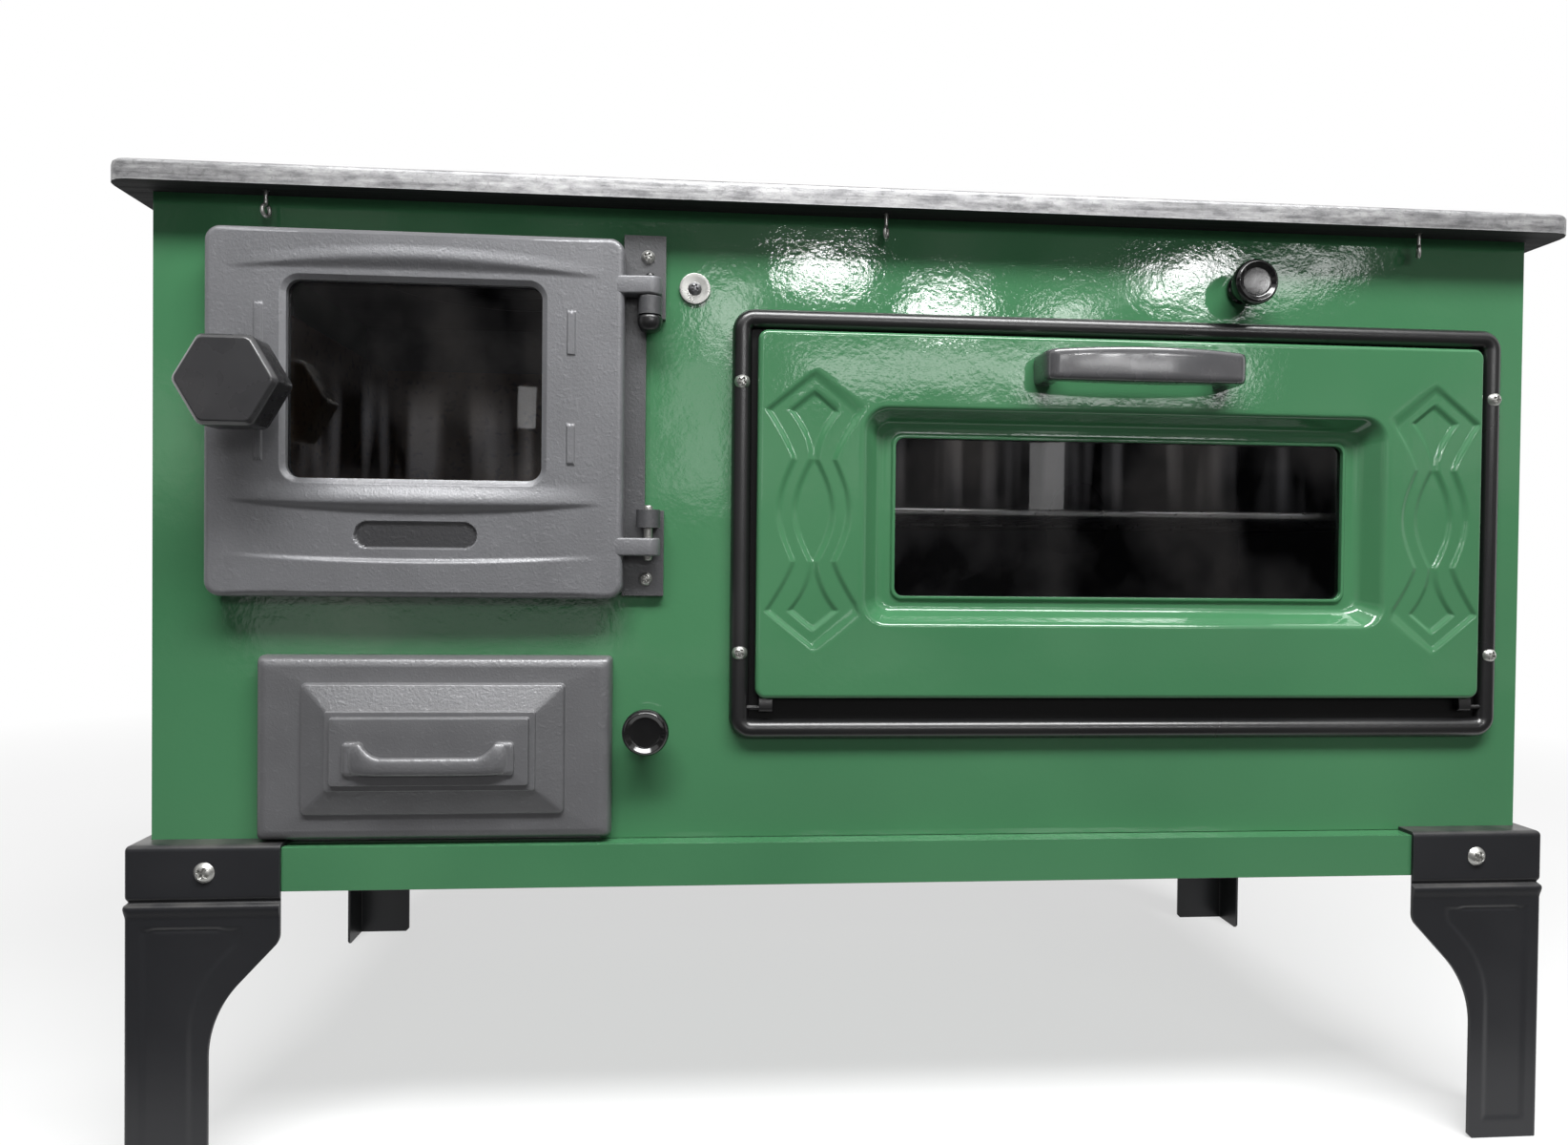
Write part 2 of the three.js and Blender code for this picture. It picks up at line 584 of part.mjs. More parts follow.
addPiece('cooktop_plate', cutAll(
  skin([atZ(roundedRect(plateEdge, plate.corner), rimBottom), ...roundingRings]),
  [
    floorSlab(sharpRect(underCasing), rimBottom - gap.cut, pocketTop),
    barZ(potX, pot.fromFront, pot.ring + gap.shank, potRest, plateTop + gap.cut, counts.largeSides),
    barZ(potX, pot.fromFront, pot.ring - pot.ledge, rimBottom, plateTop, counts.largeSides),
    barZ(flueX, flueY, flue.outer - flue.lip + gap.shank, rimBottom, plateTop + gap.cut, counts.largeSides),
    ...Object.values(hookPlaces).map((x) => (
      barZ(x, -hook.frontOf, hook.stem + gap.seat, rimBottom - gap.cut, rimBottom + hook.sink + gap.seat)
    )),
  ],
), finish.plateIron);

const standing = (profile, sides) => solid(turned(profile, sides).rotateX(Math.PI / 2));
const lidHole = pot.lid + gap.shank;
const ringBoss = pot.ring - pot.ledge - gap.shank;
addPiece('cooktop_ring', standing([
  [pot.lid - pot.lidLedge, pocketTop], [ringBoss, pocketTop], [ringBoss, potRest + gap.seat],
  [pot.ring, potRest + gap.seat], [pot.ring, plateTop], [lidHole, plateTop], [lidHole, potRest],
  [pot.lid - pot.lidLedge, potRest], [pot.lid - pot.lidLedge, pocketTop],
], counts.largeSides), finish.plateIron, [potX, pot.fromFront, 0]);

const lidBoss = pot.lid - pot.lidLedge - gap.shank;
addPiece('centre_lid', cutAll(standing([
  [0, pocketTop], [lidBoss, pocketTop], [lidBoss, potRest + gap.seat], [pot.lid, potRest + gap.seat],
  [pot.lid, plateTop], [0, plateTop],
], counts.largeSides), [
  block(
    -pot.slotLength / 2, pot.slotLength / 2, -pot.slotOut - pot.slotWidth / 2, -pot.slotOut + pot.slotWidth / 2,
    plateTop - pot.slotDepth, plateTop + gap.cut,
  ),
]), finish.plateIron, [potX, pot.fromFront, 0]);

const collarInner = flue.outer - flue.wall;
const collarFoot = plateTop + gap.seat;
addPiece('flue_collar', standing([
  [collarInner, pocketTop], [flue.outer - flue.lip, pocketTop], [flue.outer - flue.lip, collarFoot],
  [flue.flange, collarFoot], [flue.flange, collarFoot + flue.flangeHeight],
  [flue.outer + flue.fillet, collarFoot + flue.flangeHeight],
  [flue.outer, collarFoot + flue.flangeHeight + flue.fillet], [flue.outer, plateTop + flue.height],
  [collarInner, plateTop + flue.height], [collarInner, pocketTop],
], counts.largeSides), finish.plateIron, [flueX, flueY, 0]);

// Small eyes screwed up into the plate's rim
function eyePiece() {
  const middle = -hook.drop - hook.eyeTallHalf;
  const turn = THREE.MathUtils.degToRad(hook.turnDegrees);
  const rings = Array.from({ length: counts.eyeSteps }, (_, k) => {
    const around = (2 * Math.PI * k) / counts.eyeSteps;
    return Array.from({ length: counts.wireSides }, (unused, j) => {
      const angle = (2 * Math.PI * j) / counts.wireSides;
      const out = hook.wire * Math.cos(angle);
      const across = (hook.eyeHalf + out) * Math.cos(around);
      const aside = hook.wire * Math.sin(angle);
      return [
        across * Math.cos(turn) - aside * Math.sin(turn), across * Math.sin(turn) + aside * Math.cos(turn),
        middle + (hook.eyeTallHalf + out) * Math.sin(around),
      ];
    });
  });
  return skin(rings, true).add(barZ(0, 0, hook.stem, -hook.drop, hook.sink));
}

const eye = eyePiece();
Object.entries(hookPlaces).forEach(([place, x]) => {
  addPiece(`plate_hook_${place}`, eye, finish.zinc, [x, -hook.frontOf, rimBottom]);
});

// Fire door frame: a flat ring with a collar into the casing and two hinge leaves
const frameFront = -gap.seat - fireFrame.thickness;
const hingeLug = (z0) => barZ(hingeX, hingeY, fireHinge.barrel, z0, z0 + fireHinge.lug, counts.knobSides);
const frameLug = (z0) => hingeLug(z0).add(block(
  hingeX - fireHinge.arm, hingeX + fireHinge.arm, hingeY, frameFront + gap.weld, z0, z0 + fireHinge.lug,
));
const leaf = (z0, z1) => block(
  fire.right - fireHinge.leafLeft, hingeX + fireHinge.leafRight, frameFront, -gap.seat, z0, z1,
);
const pinHole = barZ(
  hingeX, hingeY, fireHinge.pin + gap.shank, fire.bottom, fire.top,
);
const fireMouthEdge = roundedRect(fireMouth, fireFrame.corner);
addPiece('fire_door_frame', cutAll(joinAll([
  frontSlab(roundedRect(frameOuter, fireFrame.corner), frameFront, -gap.seat, [fireMouthEdge]),
  frontSlab(
    roundedRect(inset(fireMouth, -fireFrame.collar), fireFrame.corner + fireFrame.collar),
    -gap.seat - gap.weld, fireFrame.collarDepth, [fireMouthEdge],
  ),
  leaf(frameLugTop - fireHinge.lug, leafTop),
  leaf(leafBottom, frameLugLow + fireHinge.lug),
  frameLug(frameLugTop - fireHinge.lug),
  frameLug(frameLugLow),
]), [
  pinHole,
  ...Object.values(fireScrewPlaces).map(([x, z]) => (
    barY(x, z, fireScrew.shank + gap.shank, frameFront - gap.cut, gap.cut)
  )),
]), finish.greyCasting);

const frameScrew = screw(fireScrew);
Object.entries(fireScrewPlaces).forEach(([place, [x, z]]) => {
  addPiece(`frame_screw_${place}`, frameScrew, finish.zinc, [x, frameFront - gap.seat, z]);
});

const pinFoot = frameLugTop - fireHinge.lug;
addPiece('fire_hinge_pin_top', joinAll([
  barZ(hingeX, hingeY, fireHinge.pin, pinFoot - fireHinge.capHeight, doorLugTop + fireHinge.tail),
  barZ(hingeX, hingeY, fireHinge.cap, pinFoot - fireHinge.capHeight, pinFoot - gap.seat, counts.knobSides),
]), finish.blackEnamel);
addPiece('fire_hinge_pin_bottom', barZ(
  hingeX, hingeY, fireHinge.pin, doorLugLow - fireHinge.tail, frameLugLow + fireHinge.lug + fireHinge.tail,
), finish.zinc);

// Fire door: a hollow-backed casting with a window, two shallow arched reliefs and a bare badge place
const doorBack = frameFront - fireDoor.rearGap;
const doorPocket = fireDoor.plate - fireDoor.face;
const glassSeat = fireWindow.glassDepth - fireDoor.face;
const glassBack = glassSeat + gap.seat + fireWindow.glass;
const glassEdge = inset(window, -fireWindow.glassLap);
const windowRim = inset(glassEdge, -gap.seat - fireWindow.retainerLip);
const windowOutline = roundedRect(window, fireWindow.corner);
const chamferOutline = roundedRect(
  inset(window, -fireWindow.chamfer), fireWindow.corner + fireWindow.chamfer,
);
const fireFrontCut = -fireDoor.face - gap.cut;

function archedOutline(x0, x1, z, rise) {
  const points = [[x0, z]];
  for (let k = 0; k < counts.bowSteps; k += 1) {
    const along = (k + 1) / (counts.bowSteps + 1);
    points.push([x0 + (x1 - x0) * along, z + rise * (1 - (along + along - 1) ** 2)]);
  }
  points.push([x1, z]);
  return points;
}

const doorArm = (z0) => hingeLug(z0).add(block(
  fire.right - fireDoor.rim / 2, hingeX, hingeY - fireHinge.arm / 2, hingeY + fireHinge.arm / 2,
  z0, z0 + fireHinge.lug,
));
const ribBlocks = [fire.left + rib.sideIn, fire.right - rib.sideIn].flatMap((x) => [
  [fire.top - rib.upperIn - rib.upperTall, fire.top - rib.upperIn],
  [fire.bottom + rib.lowerIn, fire.bottom + rib.lowerIn + rib.lowerTall],
].map(([z0, z1]) => block(
  x - rib.width / 2, x + rib.width / 2, -fireDoor.face - rib.depth, gap.weld - fireDoor.face, z0, z1,
)));
const relief = (z, rise) => frontSlab(
  archedOutline(fire.left + fireRelief.sideIn, fire.right - fireRelief.sideIn, z, rise),
  fireFrontCut, fireRelief.depth - fireDoor.face,
);
const badgeBox = boxFrom(
  fire.midX - badge.width / 2, fire.midX + badge.width / 2,
  fire.bottom + badge.up - badge.height / 2, fire.bottom + badge.up + badge.height / 2,
);
const doorOutline = roundedRect(fire, fireDoor.corner);
const doorShell = skin([
  atY(doorOutline, doorBack),
  atY(doorOutline, fireDoor.bevel - fireDoor.face),
  atY(roundedRect(inset(fire, fireDoor.bevel), fireDoor.corner - fireDoor.bevel), -fireDoor.face),
]).subtract(frontSlab(
  roundedRect(inset(fire, fireDoor.rim), fireDoor.corner - fireDoor.rim), doorPocket, doorBack + gap.cut,
));
addPiece('fire_door', cutAll(joinAll([
  doorShell,
  frontSlab(roundedRect(windowRim, fireWindow.corner), doorPocket - gap.weld, glassBack),
  barY(latchX, latchZ, latch.boss, -fireDoor.face - latch.bossRise, gap.weld - fireDoor.face, counts.knobSides),
  doorArm(doorLugTop - fireHinge.lug),
  doorArm(doorLugLow),
  ...ribBlocks,
]), [
  frontSlab(windowOutline, fireFrontCut, 0),
  skin([
    atY(chamferOutline, fireFrontCut),
    atY(chamferOutline, -fireDoor.face),
    atY(windowOutline, fireWindow.chamferDepth - fireDoor.face),
  ]),
  frontSlab(roundedRect(inset(glassEdge, -gap.seat), fireWindow.corner), glassSeat, 0),
  barY(latchX, latchZ, latch.spindle + gap.shank, fireFrontCut - latch.bossRise, 0),
  relief(fire.top - fireRelief.topIn, fireRelief.topArch),
  relief(fire.bottom + fireRelief.lowIn, -fireRelief.lowArch),
  frontSlab(roundedRect(badgeBox, badge.height / 2), fireFrontCut, badge.depth - fireDoor.face),
  pinHole,
]), finish.greyCasting);

addPiece('fire_door_glass', frontSlab(
  roundedRect(glassEdge, fireWindow.corner), glassSeat + gap.seat, glassBack,
), finish.glass);
addPiece('fire_glass_retainer', frontSlab(
  roundedRect(windowRim, fireWindow.corner), glassBack + gap.seat, glassBack + gap.seat + fireWindow.retainer,
  [windowOutline],
), finish.rawSheet);
const gasketOuter = inset(fire, gasket.fromEdge);
addPiece('fire_door_gasket', frontSlab(
  roundedRect(gasketOuter, fireDoor.corner), doorPocket + gap.seat, frameFront - gap.seat,
  [roundedRect(inset(gasketOuter, gasket.width), fireDoor.corner)],
), finish.rope);

// Latch: a six-sided knob on a spindle whose tongue turns behind the collar
function hexagon(radius) {
  return Array.from({ length: counts.hexagonSides }, (_, k) => {
    const angle = (2 * Math.PI * k) / counts.hexagonSides;
    return [latchX + radius * Math.cos(angle), latchZ + radius * Math.sin(angle)];
  });
}
const knobFront = knobBack - latch.depth;
addPiece('latch_knob', skin([
  atY(hexagon(latch.corner - latch.bevel), knobBack),
  atY(hexagon(latch.corner), knobBack - latch.bevel),
  atY(hexagon(latch.corner), knobFront + latch.bevel),
  atY(hexagon(latch.corner - latch.bevel), knobFront),
]).subtract(barY(
  latchX, latchZ, latch.spindle + gap.shank, knobBack - latch.bore, knobBack + gap.cut,
)), finish.bakelite);
const tongueFront = fireFrame.collarDepth + latch.behind;
addPiece('latch_spindle', joinAll([
  barY(latchX, latchZ, latch.spindle, knobBack - latch.bore + gap.seat, tongueFront + latch.tongueThick),
  block(
    latchX - latch.tongueWidth / 2, latchX + latch.tongueWidth / 2, tongueFront,
    tongueFront + latch.tongueThick, latchZ - latch.tongue, latchZ + latch.tongueWidth / 2,
  ),
]), finish.rawSheet);

// Ash drawer: a cast front in two tiers with a bow handle, and the pan behind it
const tierFoot = inset(ash, ashFront.baseInX + ashFront.slopeX, ashFront.baseInZ + ashFront.slopeZ);
const tierEdge = inset(tierFoot, ashFront.tierIn);
const riseY = -ashFront.face - ashFront.rise;
const tierFace = riseY - ashFront.tierRise;
const ashRings = Array.from({ length: counts.edgeSteps + 1 }, (_, k) => {
  const angle = (Math.PI / 2) * (k / counts.edgeSteps);
  return atY(
    sharpRect(inset(ash, ashFront.edge * (1 - Math.cos(angle)))),
    ashFront.bevel * (1 - Math.sin(angle)) - ashFront.face,
  );
});

function bowHandle() {
  const middleZ = ash.midZ - ashHandle.below;
  const span = ashHandle.half - ashHandle.pad / 2;
  const reach = ashHandle.reach - ashHandle.thick / 2;
  const power = 2 / ashHandle.power;
  const path = Array.from({ length: counts.bowSteps + 1 }, (_, k) => {
    const angle = (Math.PI * k) / counts.bowSteps;
    const across = Math.sign(Math.cos(angle)) * Math.abs(Math.cos(angle)) ** power;
    return [ash.midX - span * across, tierFace + gap.weld - (reach + gap.weld) * Math.sin(angle) ** power];
  });
  const rings = path.map(([x, y], k) => {
    const [ahead, behind] = [path[Math.min(k + 1, counts.bowSteps)], path[Math.max(k - 1, 0)]];
    const along = new THREE.Vector2(ahead[0] - behind[0], ahead[1] - behind[1]).normalize();
    const [outX, outY] = k % counts.bowSteps ? [-along.y, along.x] : [k ? -1 : 1, 0];
    const half = ashHandle.thick / 2;
    const nearPad = 1 - Math.sin((Math.PI * k) / counts.bowSteps) ** power;
    const low = middleZ - ashHandle.padTall / 2;
    const high = low + ashHandle.bar + (ashHandle.padTall - ashHandle.bar) * nearPad * nearPad;
    return [[-1, low], [1, low], [1, high], [-1, high]].map(([a, z]) => (
      [x + a * half * outX, y + a * half * outY, z]
    ));
  });
  const pads = [-span, span].map((across) => block(
    ash.midX + across - ashHandle.pad / 2, ash.midX + across + ashHandle.pad / 2,
    tierFace - ashHandle.padThick, tierFace + gap.weld,
    middleZ - ashHandle.padTall / 2, middleZ + ashHandle.padTall / 2,
  ));
  return joinAll([skin(rings), ...pads]);
}

addPiece('ash_drawer_front', joinAll([
  skin([atY(sharpRect(ash), -ashFront.rearGap), ...ashRings]),
  skin([
    atY(sharpRect(inset(ash, ashFront.baseInX, ashFront.baseInZ)), gap.weld - ashFront.face),
    atY(sharpRect(inset(ash, ashFront.baseInX, ashFront.baseInZ)), -ashFront.face),
    atY(sharpRect(tierFoot), riseY),
  ]),
  skin([
    atY(sharpRect(tierEdge), gap.weld + riseY),
    atY(sharpRect(inset(tierEdge, ashFront.tierSlope)), tierFace),
  ]),
  bowHandle(),
]).subtract(block(
  ash.left + ashFront.hollowIn, ash.right - ashFront.hollowIn, ashFront.wall - ashFront.face, gap.cut,
  ash.bottom + ashFront.hollowIn, ash.top - ashFront.hollowIn,
)), finish.darkCasting);

const panLeft = sleeve.left + sheet.ash + ashPan.sideGap;
const panRight = sleeve.right - sheet.ash - ashPan.sideGap;
const panFront = gap.seat - ashFront.rearGap;
const panRear = casing.depth - ashPan.rearSpace;
const sleeveFoot = trayTop + gap.seat;
const panBottom = sleeveFoot + sheet.ash + ashPan.floorGap;
addPiece('ash_pan', block(
  panLeft, panRight, panFront, panRear, panBottom, panBottom + ashPan.height,
).subtract(block(
  panLeft + sheet.ash, panRight - sheet.ash, panFront + sheet.ash, panRear - sheet.ash,
  panBottom + sheet.ash, panBottom + ashPan.height + gap.cut,
)), finish.rawSheet);

const sleeveTop = bedBottom - gap.seat;
addPiece('ash_sleeve', cutAll(block(
  sleeve.left, sleeve.right, behindPanel, rearInside, sleeveFoot, sleeveTop,
), [
  block(
    sleeve.left + sheet.ash, sleeve.right - sheet.ash, 0, rearInside - sheet.ash,
    sleeveFoot + sheet.ash, sleeveTop + gap.cut,
  ),
  block(
    sleeve.right - sheet.ash - gap.cut, sleeve.right + gap.cut,
    shaker.reach - shaker.travel - shaker.rod - shaker.notchGap, shaker.reach + shaker.rod + shaker.notchGap,
    armZ - shaker.rod - shaker.notchGap, sleeveTop + gap.cut,
  ),
]), finish.rawSheet);

// Pull knobs, both turned to one profile
const knobProfile = [
  [0, -knob.frontGap], [knob.foot, -knob.frontGap], [knob.foot, -knob.frontGap - knob.footHeight],
  [knob.neck, -knob.neckHeight], [knob.rim, -knob.rimHeight], [knob.rim, knob.round - knob.length],
  [knob.rim - knob.round, -knob.length], [knob.dish, -knob.length],
  [knob.dishFloor, knob.dishDepth - knob.length],
  [0, knob.dishDepth - knob.length],
];
const knobRodEnd = -knob.frontGap - knob.bore;
const pullKnob = (rodRadius) => solid(turned(knobProfile, counts.knobSides)).subtract(
  barY(0, 0, rodRadius + gap.shank, knobRodEnd, 0),
);

// Shaker: pulling its knob draws the grate forward through an arm under the bed
addPiece('shaker_knob', pullKnob(shaker.rod), finish.bakelite, [shakerX, 0, shakerZ]);
addPiece('shaker_rod', joinAll([
  barY(shakerX, shakerZ, shaker.rod, knobRodEnd + gap.seat, shaker.reach + shaker.rod),
  barZ(shakerX, shaker.reach, shaker.rod, shakerZ, armZ + shaker.rod),
  barX(shaker.reach, armZ, shaker.rod, lugRight - grate.lugWidth - shaker.pastLug, shakerX),
]), finish.rawSheet);

const grateFront = grate.frontSpace;
const grateRear = grateFront + grate.length;
const grateLeft = ash.midX - grateHalf;
const slotPitch = (grate.length - grate.margin - grate.margin) / grate.slots;
const slotBlocks = Array.from({ length: grate.slots }, (_, k) => {
  const middle = grateFront + grate.margin + slotPitch * (k + 0.5);
  return block(
    grateLeft + grate.margin, grateLeft + grate.width - grate.margin,
    middle - grate.slotWidth / 2, middle + grate.slotWidth / 2, bedBottom, bedTop + gap.cut,
  );
});
addPiece('fire_grate', cutAll(
  block(grateLeft, grateLeft + grate.width, grateFront, grateRear, bedTop - grate.thickness, bedTop),
  slotBlocks,
).add(block(
  lugRight - grate.lugWidth, lugRight, shaker.reach - grate.lugLength / 2, shaker.reach + grate.lugLength / 2,
  armZ - grate.lugBelow, bedTop - gap.weld,
)).subtract(barX(
  shaker.reach, armZ, shaker.rod + gap.shank, lugRight - grate.lugWidth - gap.cut, lugRight + gap.cut,
)), finish.darkCasting);

// Firebox: the bed that the grate slides in, and the firebricks standing on it
const fireLeft = left + sheet.casing + gap.seat;
const grateRest = bedTop - grate.thickness - gap.seat;
addPiece('grate_bed', cutAll(
  block(fireLeft, bridge.right, brick.frontSpace, rearInside, bedBottom, bedTop),
  [
    block(
      grateLeft - bed.slideGap, grateLeft + grate.width + bed.slideGap,
      grateFront - shaker.travel - bed.slideGap, grateRear + bed.slideGap, grateRest, bedTop + gap.cut,
    ),
    block(
      grateLeft + grate.ledge, grateLeft + grate.width - grate.ledge,
      grateFront + grate.ledge, grateRear - shaker.travel - grate.ledge, bedBottom - gap.cut, bedTop,
    ),
  ],
), finish.darkCasting);

const brickFoot = bedTop + gap.seat;
addPiece('firebrick_left', block(
  fireLeft, fireLeft + brick.thickness, brick.frontSpace, rearInside, brickFoot, brickTop,
), finish.firebrick);
addPiece('firebrick_right', block(
  bridge.left, bridge.right, brick.frontSpace, rearInside, brickFoot, rimBottom - brick.bridgeBelowRim,
).subtract(barY(
  stayX, stayZ, stay.shank + gap.shank, 0, stay.length + gap.seat,
)), finish.firebrick);
addPiece('firebrick_rear', block(
  fireLeft + brick.thickness + gap.seat, bridge.left - gap.seat, rearInside - brick.thickness, rearInside,
  brickFoot, brickTop,
), finish.firebrick);

const washerFront = -gap.seat - stay.washerThick;
addPiece('stay_washer', frontSlab(
  circle(0, 0, stay.washer), washerFront, -gap.seat, [circle(0, 0, stay.shank + gap.shank)],
), finish.zinc, [stayX, 0, stayZ]);
addPiece('stay_bolt', screw(stay), finish.zinc, [stayX, washerFront - gap.seat, stayZ]);

// Oven frame: a flat ring with a half-round bead along its outer edge
const mouthOutline = roundedRect(mouth, ovenMouth.corner);
const beadRings = Array.from({ length: counts.beadSteps + 1 }, (_, k) => {
  const angle = (Math.PI * k) / counts.beadSteps;
  const drawnIn = (ovenFrame.bead / 2) * (1 - Math.cos(angle));
  return atY(
    roundedRect(inset(ovenRim, drawnIn), Math.max(ovenFrame.corner - drawnIn, gap.weld)),
    -gap.seat - ovenFrame.beadRise * Math.sin(angle),
  );
});
const screwSeat = -gap.seat - ovenFrame.beadRise + ovenScrew.seatDepth;
const pinSink = ovenFrame.bead - ovenHinge.sink;
const lugReach = ovenHinge.lugIn + ovenHinge.lugWidth;
const ovenPinLeft = [ovenRim.left + pinSink, oven.left + lugReach];
const ovenPinRight = [oven.right - lugReach, ovenRim.right - pinSink];
addPiece('oven_frame', cutAll(joinAll([
  frontSlab(roundedRect(ovenRim, ovenFrame.corner), ledgeY, -gap.seat, [mouthOutline]),
  skin(beadRings, true),
]), [
  ...Object.values(ovenScrewPlaces).flatMap(([x, z]) => [
    barY(x, z, ovenScrew.head + gap.shank, -gap.seat - ovenFrame.beadRise - gap.cut, screwSeat),
    barY(x, z, ovenScrew.shank + gap.shank, screwSeat - gap.weld, gap.cut),
  ]),
  barX(ovenAxisY, ovenAxisZ, ovenHinge.pin + gap.seat, ovenPinLeft[0] - gap.seat, oven.left),
  barX(ovenAxisY, ovenAxisZ, ovenHinge.pin + gap.seat, oven.right, ovenPinRight[1] + gap.seat),
]), finish.blackEnamel);

const ovenFrameScrew = screw(ovenScrew);
Object.entries(ovenScrewPlaces).forEach(([place, [x, z]]) => {
  addPiece(`oven_frame_screw_${place}`, ovenFrameScrew, finish.zinc, [x, screwSeat - gap.seat, z]);
});
addPiece('oven_hinge_pin_left', barX(
  ovenAxisY, ovenAxisZ, ovenHinge.pin, ovenPinLeft[0], ovenPinLeft[1],
), finish.blackEnamel);
addPiece('oven_hinge_pin_right', barX(
  ovenAxisY, ovenAxisZ, ovenHinge.pin, ovenPinRight[0], ovenPinRight[1],
), finish.blackEnamel);

// Oven door: a pressed pan with a sloping recess round its window, and an inner pan that holds the glass
const floorY = recess.depth - ovenDoor.face;
const recessFloor = inset(recessEdge, recess.slopeX, recess.slopeZ);
const lipEdge = inset(recessFloor, recess.ledgeX, recess.ledgeZ);
const ovenWindow = inset(lipEdge, recess.lip);
const ovenWindowOutline = roundedRect(ovenWindow, recess.windowCorner);
const ovenOutline = roundedRect(oven, ovenDoor.corner);
const ovenDoorRings = Array.from({ length: counts.edgeSteps + 1 }, (_, k) => {
  const angle = (Math.PI / 2) * (k / counts.edgeSteps);
  const drawnIn = ovenDoor.round * (1 - Math.cos(angle));
  return atY(
    roundedRect(inset(oven, drawnIn), ovenDoor.corner - drawnIn),
    ovenDoor.round * (1 - Math.sin(angle)) - ovenDoor.face,
  );
});
const ovenLug = (x0, x1) => barX(ovenAxisY, ovenAxisZ, ovenHinge.lug, x0, x1).add(block(
  x0, x1, ovenAxisY - ovenHinge.lug, ovenAxisY + ovenHinge.lug, ovenAxisZ, oven.bottom + ovenDoor.sheet,
));
const ovenShell = skin([atY(ovenOutline, ovenRear), ...ovenDoorRings]).subtract(frontSlab(
  roundedRect(inset(oven, ovenDoor.sheet), ovenDoor.corner - ovenDoor.sheet),
  ovenDoor.sheet - ovenDoor.face, ovenRear + gap.cut,
));
const bowl = skin([
  atY(roundedRect(inset(recessEdge, -ovenDoor.sheet), recess.corner), gap.weld - ovenDoor.face),
  atY(roundedRect(inset(recessFloor, -ovenDoor.sheet), recess.floorCorner), floorY + ovenDoor.sheet),
]);
const recessCut = skin([
  atY(roundedRect(recessEdge, recess.corner), -ovenDoor.face - gap.cut),
  atY(roundedRect(recessEdge, recess.corner), -ovenDoor.face),
  atY(roundedRect(recessFloor, recess.floorCorner), floorY),
]);
addPiece('oven_door_panel', cutAll(joinAll([
  ovenShell.add(bowl).subtract(recessCut),
  frontSlab(roundedRect(lipEdge, recess.windowCorner), floorY - recess.lipDepth, floorY + gap.weld),
  ovenLug(oven.left + ovenHinge.lugIn, ovenPinLeft[1]),
  ovenLug(ovenPinRight[0], oven.right - ovenHinge.lugIn),
]), [
  frontSlab(ovenWindowOutline, floorY - recess.lipDepth - gap.cut, floorY + ovenDoor.sheet + gap.cut),
  barX(ovenAxisY, ovenAxisZ, ovenHinge.pin + gap.seat, oven.left, oven.right),
]), finish.enamel);

const ovenGlassFront = floorY + ovenDoor.sheet + gap.seat;
const ovenGlassBack = ovenGlassFront + ovenGlass.thickness;
addPiece('oven_door_glass', frontSlab(
  roundedRect(inset(ovenWindow, -ovenGlass.lap), recess.windowCorner), ovenGlassFront, ovenGlassBack,
), finish.glass);

const linerEdge = inset(mouth, liner.clear);
const linerBack = ovenGlassBack + gap.seat + liner.sheet;
const linerFront = ovenDoor.sheet + gap.seat - ovenDoor.face;
addPiece('oven_door_inner', cutAll(
  frontSlab(roundedRect(linerEdge, ovenMouth.corner), linerFront, linerBack),
  [
    frontSlab(
      roundedRect(inset(linerEdge, liner.sheet), ovenMouth.corner),
      linerFront - gap.cut, linerBack - liner.sheet,
    ),
    frontSlab(ovenWindowOutline, 0, linerBack + gap.cut),
  ],
), finish.rawSheet);

// Oven handle: a bar with a bowed front and a flat back that stands off the door on its two ends
function handleOutline() {
  const half = ovenHandle.width / 2;
  const bulge = ovenHandle.reach - ovenHandle.endReach;
  const arc = Array.from({ length: counts.bowSteps + 1 }, (_, k) => {
    const along = (k + k) / counts.bowSteps - 1;
    const out = ovenHandle.endReach + bulge * (1 - along ** 2);
    return [oven.midX + along * half, -ovenDoor.face - out];
  });
  const foot = -ovenDoor.face - gap.seat;
  const back = ovenHandle.thick - ovenDoor.face - ovenHandle.endReach;
  const inner = half - ovenHandle.foot;
  return [
    ...arc, [oven.midX + half, foot], [oven.midX + inner, foot], [oven.midX + inner, back],
    [oven.midX - inner, back], [oven.midX - inner, foot], [oven.midX - half, foot],
  ];
}
const handleTop = oven.top - ovenHandle.belowTop;
addPiece('oven_door_handle', floorSlab(
  handleOutline(), handleTop - ovenHandle.height, handleTop,
), finish.bakelite);

// Oven box with ledges for the rack
const rackLedgeTop = rackZ - rack.wire - gap.seat;
const ovenSkin = inset(cavity, -sheet.oven);
const rackLedge = (x0, x1) => block(
  x0, x1, behindPanel, cavityRear + gap.weld, rackLedgeTop - ovenBox.ledgeThick, rackLedgeTop,
);
addPiece('oven_box', joinAll([
  block(
    ovenSkin.left, ovenSkin.right, behindPanel, cavityRear + sheet.oven, ovenSkin.bottom, ovenSkin.top,
  ).subtract(block(
    cavity.left, cavity.right, 0, cavityRear, cavity.bottom, cavity.top,
  )),
  frontSlab(
    sharpRect(inset(ovenSkin, -ovenBox.flange)), behindPanel, behindPanel + sheet.oven, [sharpRect(cavity)],
  ),
  rackLedge(cavity.left - gap.weld, cavity.left + ovenBox.ledge),
  rackLedge(cavity.right - ovenBox.ledge, cavity.right + gap.weld),
]), finish.blackEnamel);

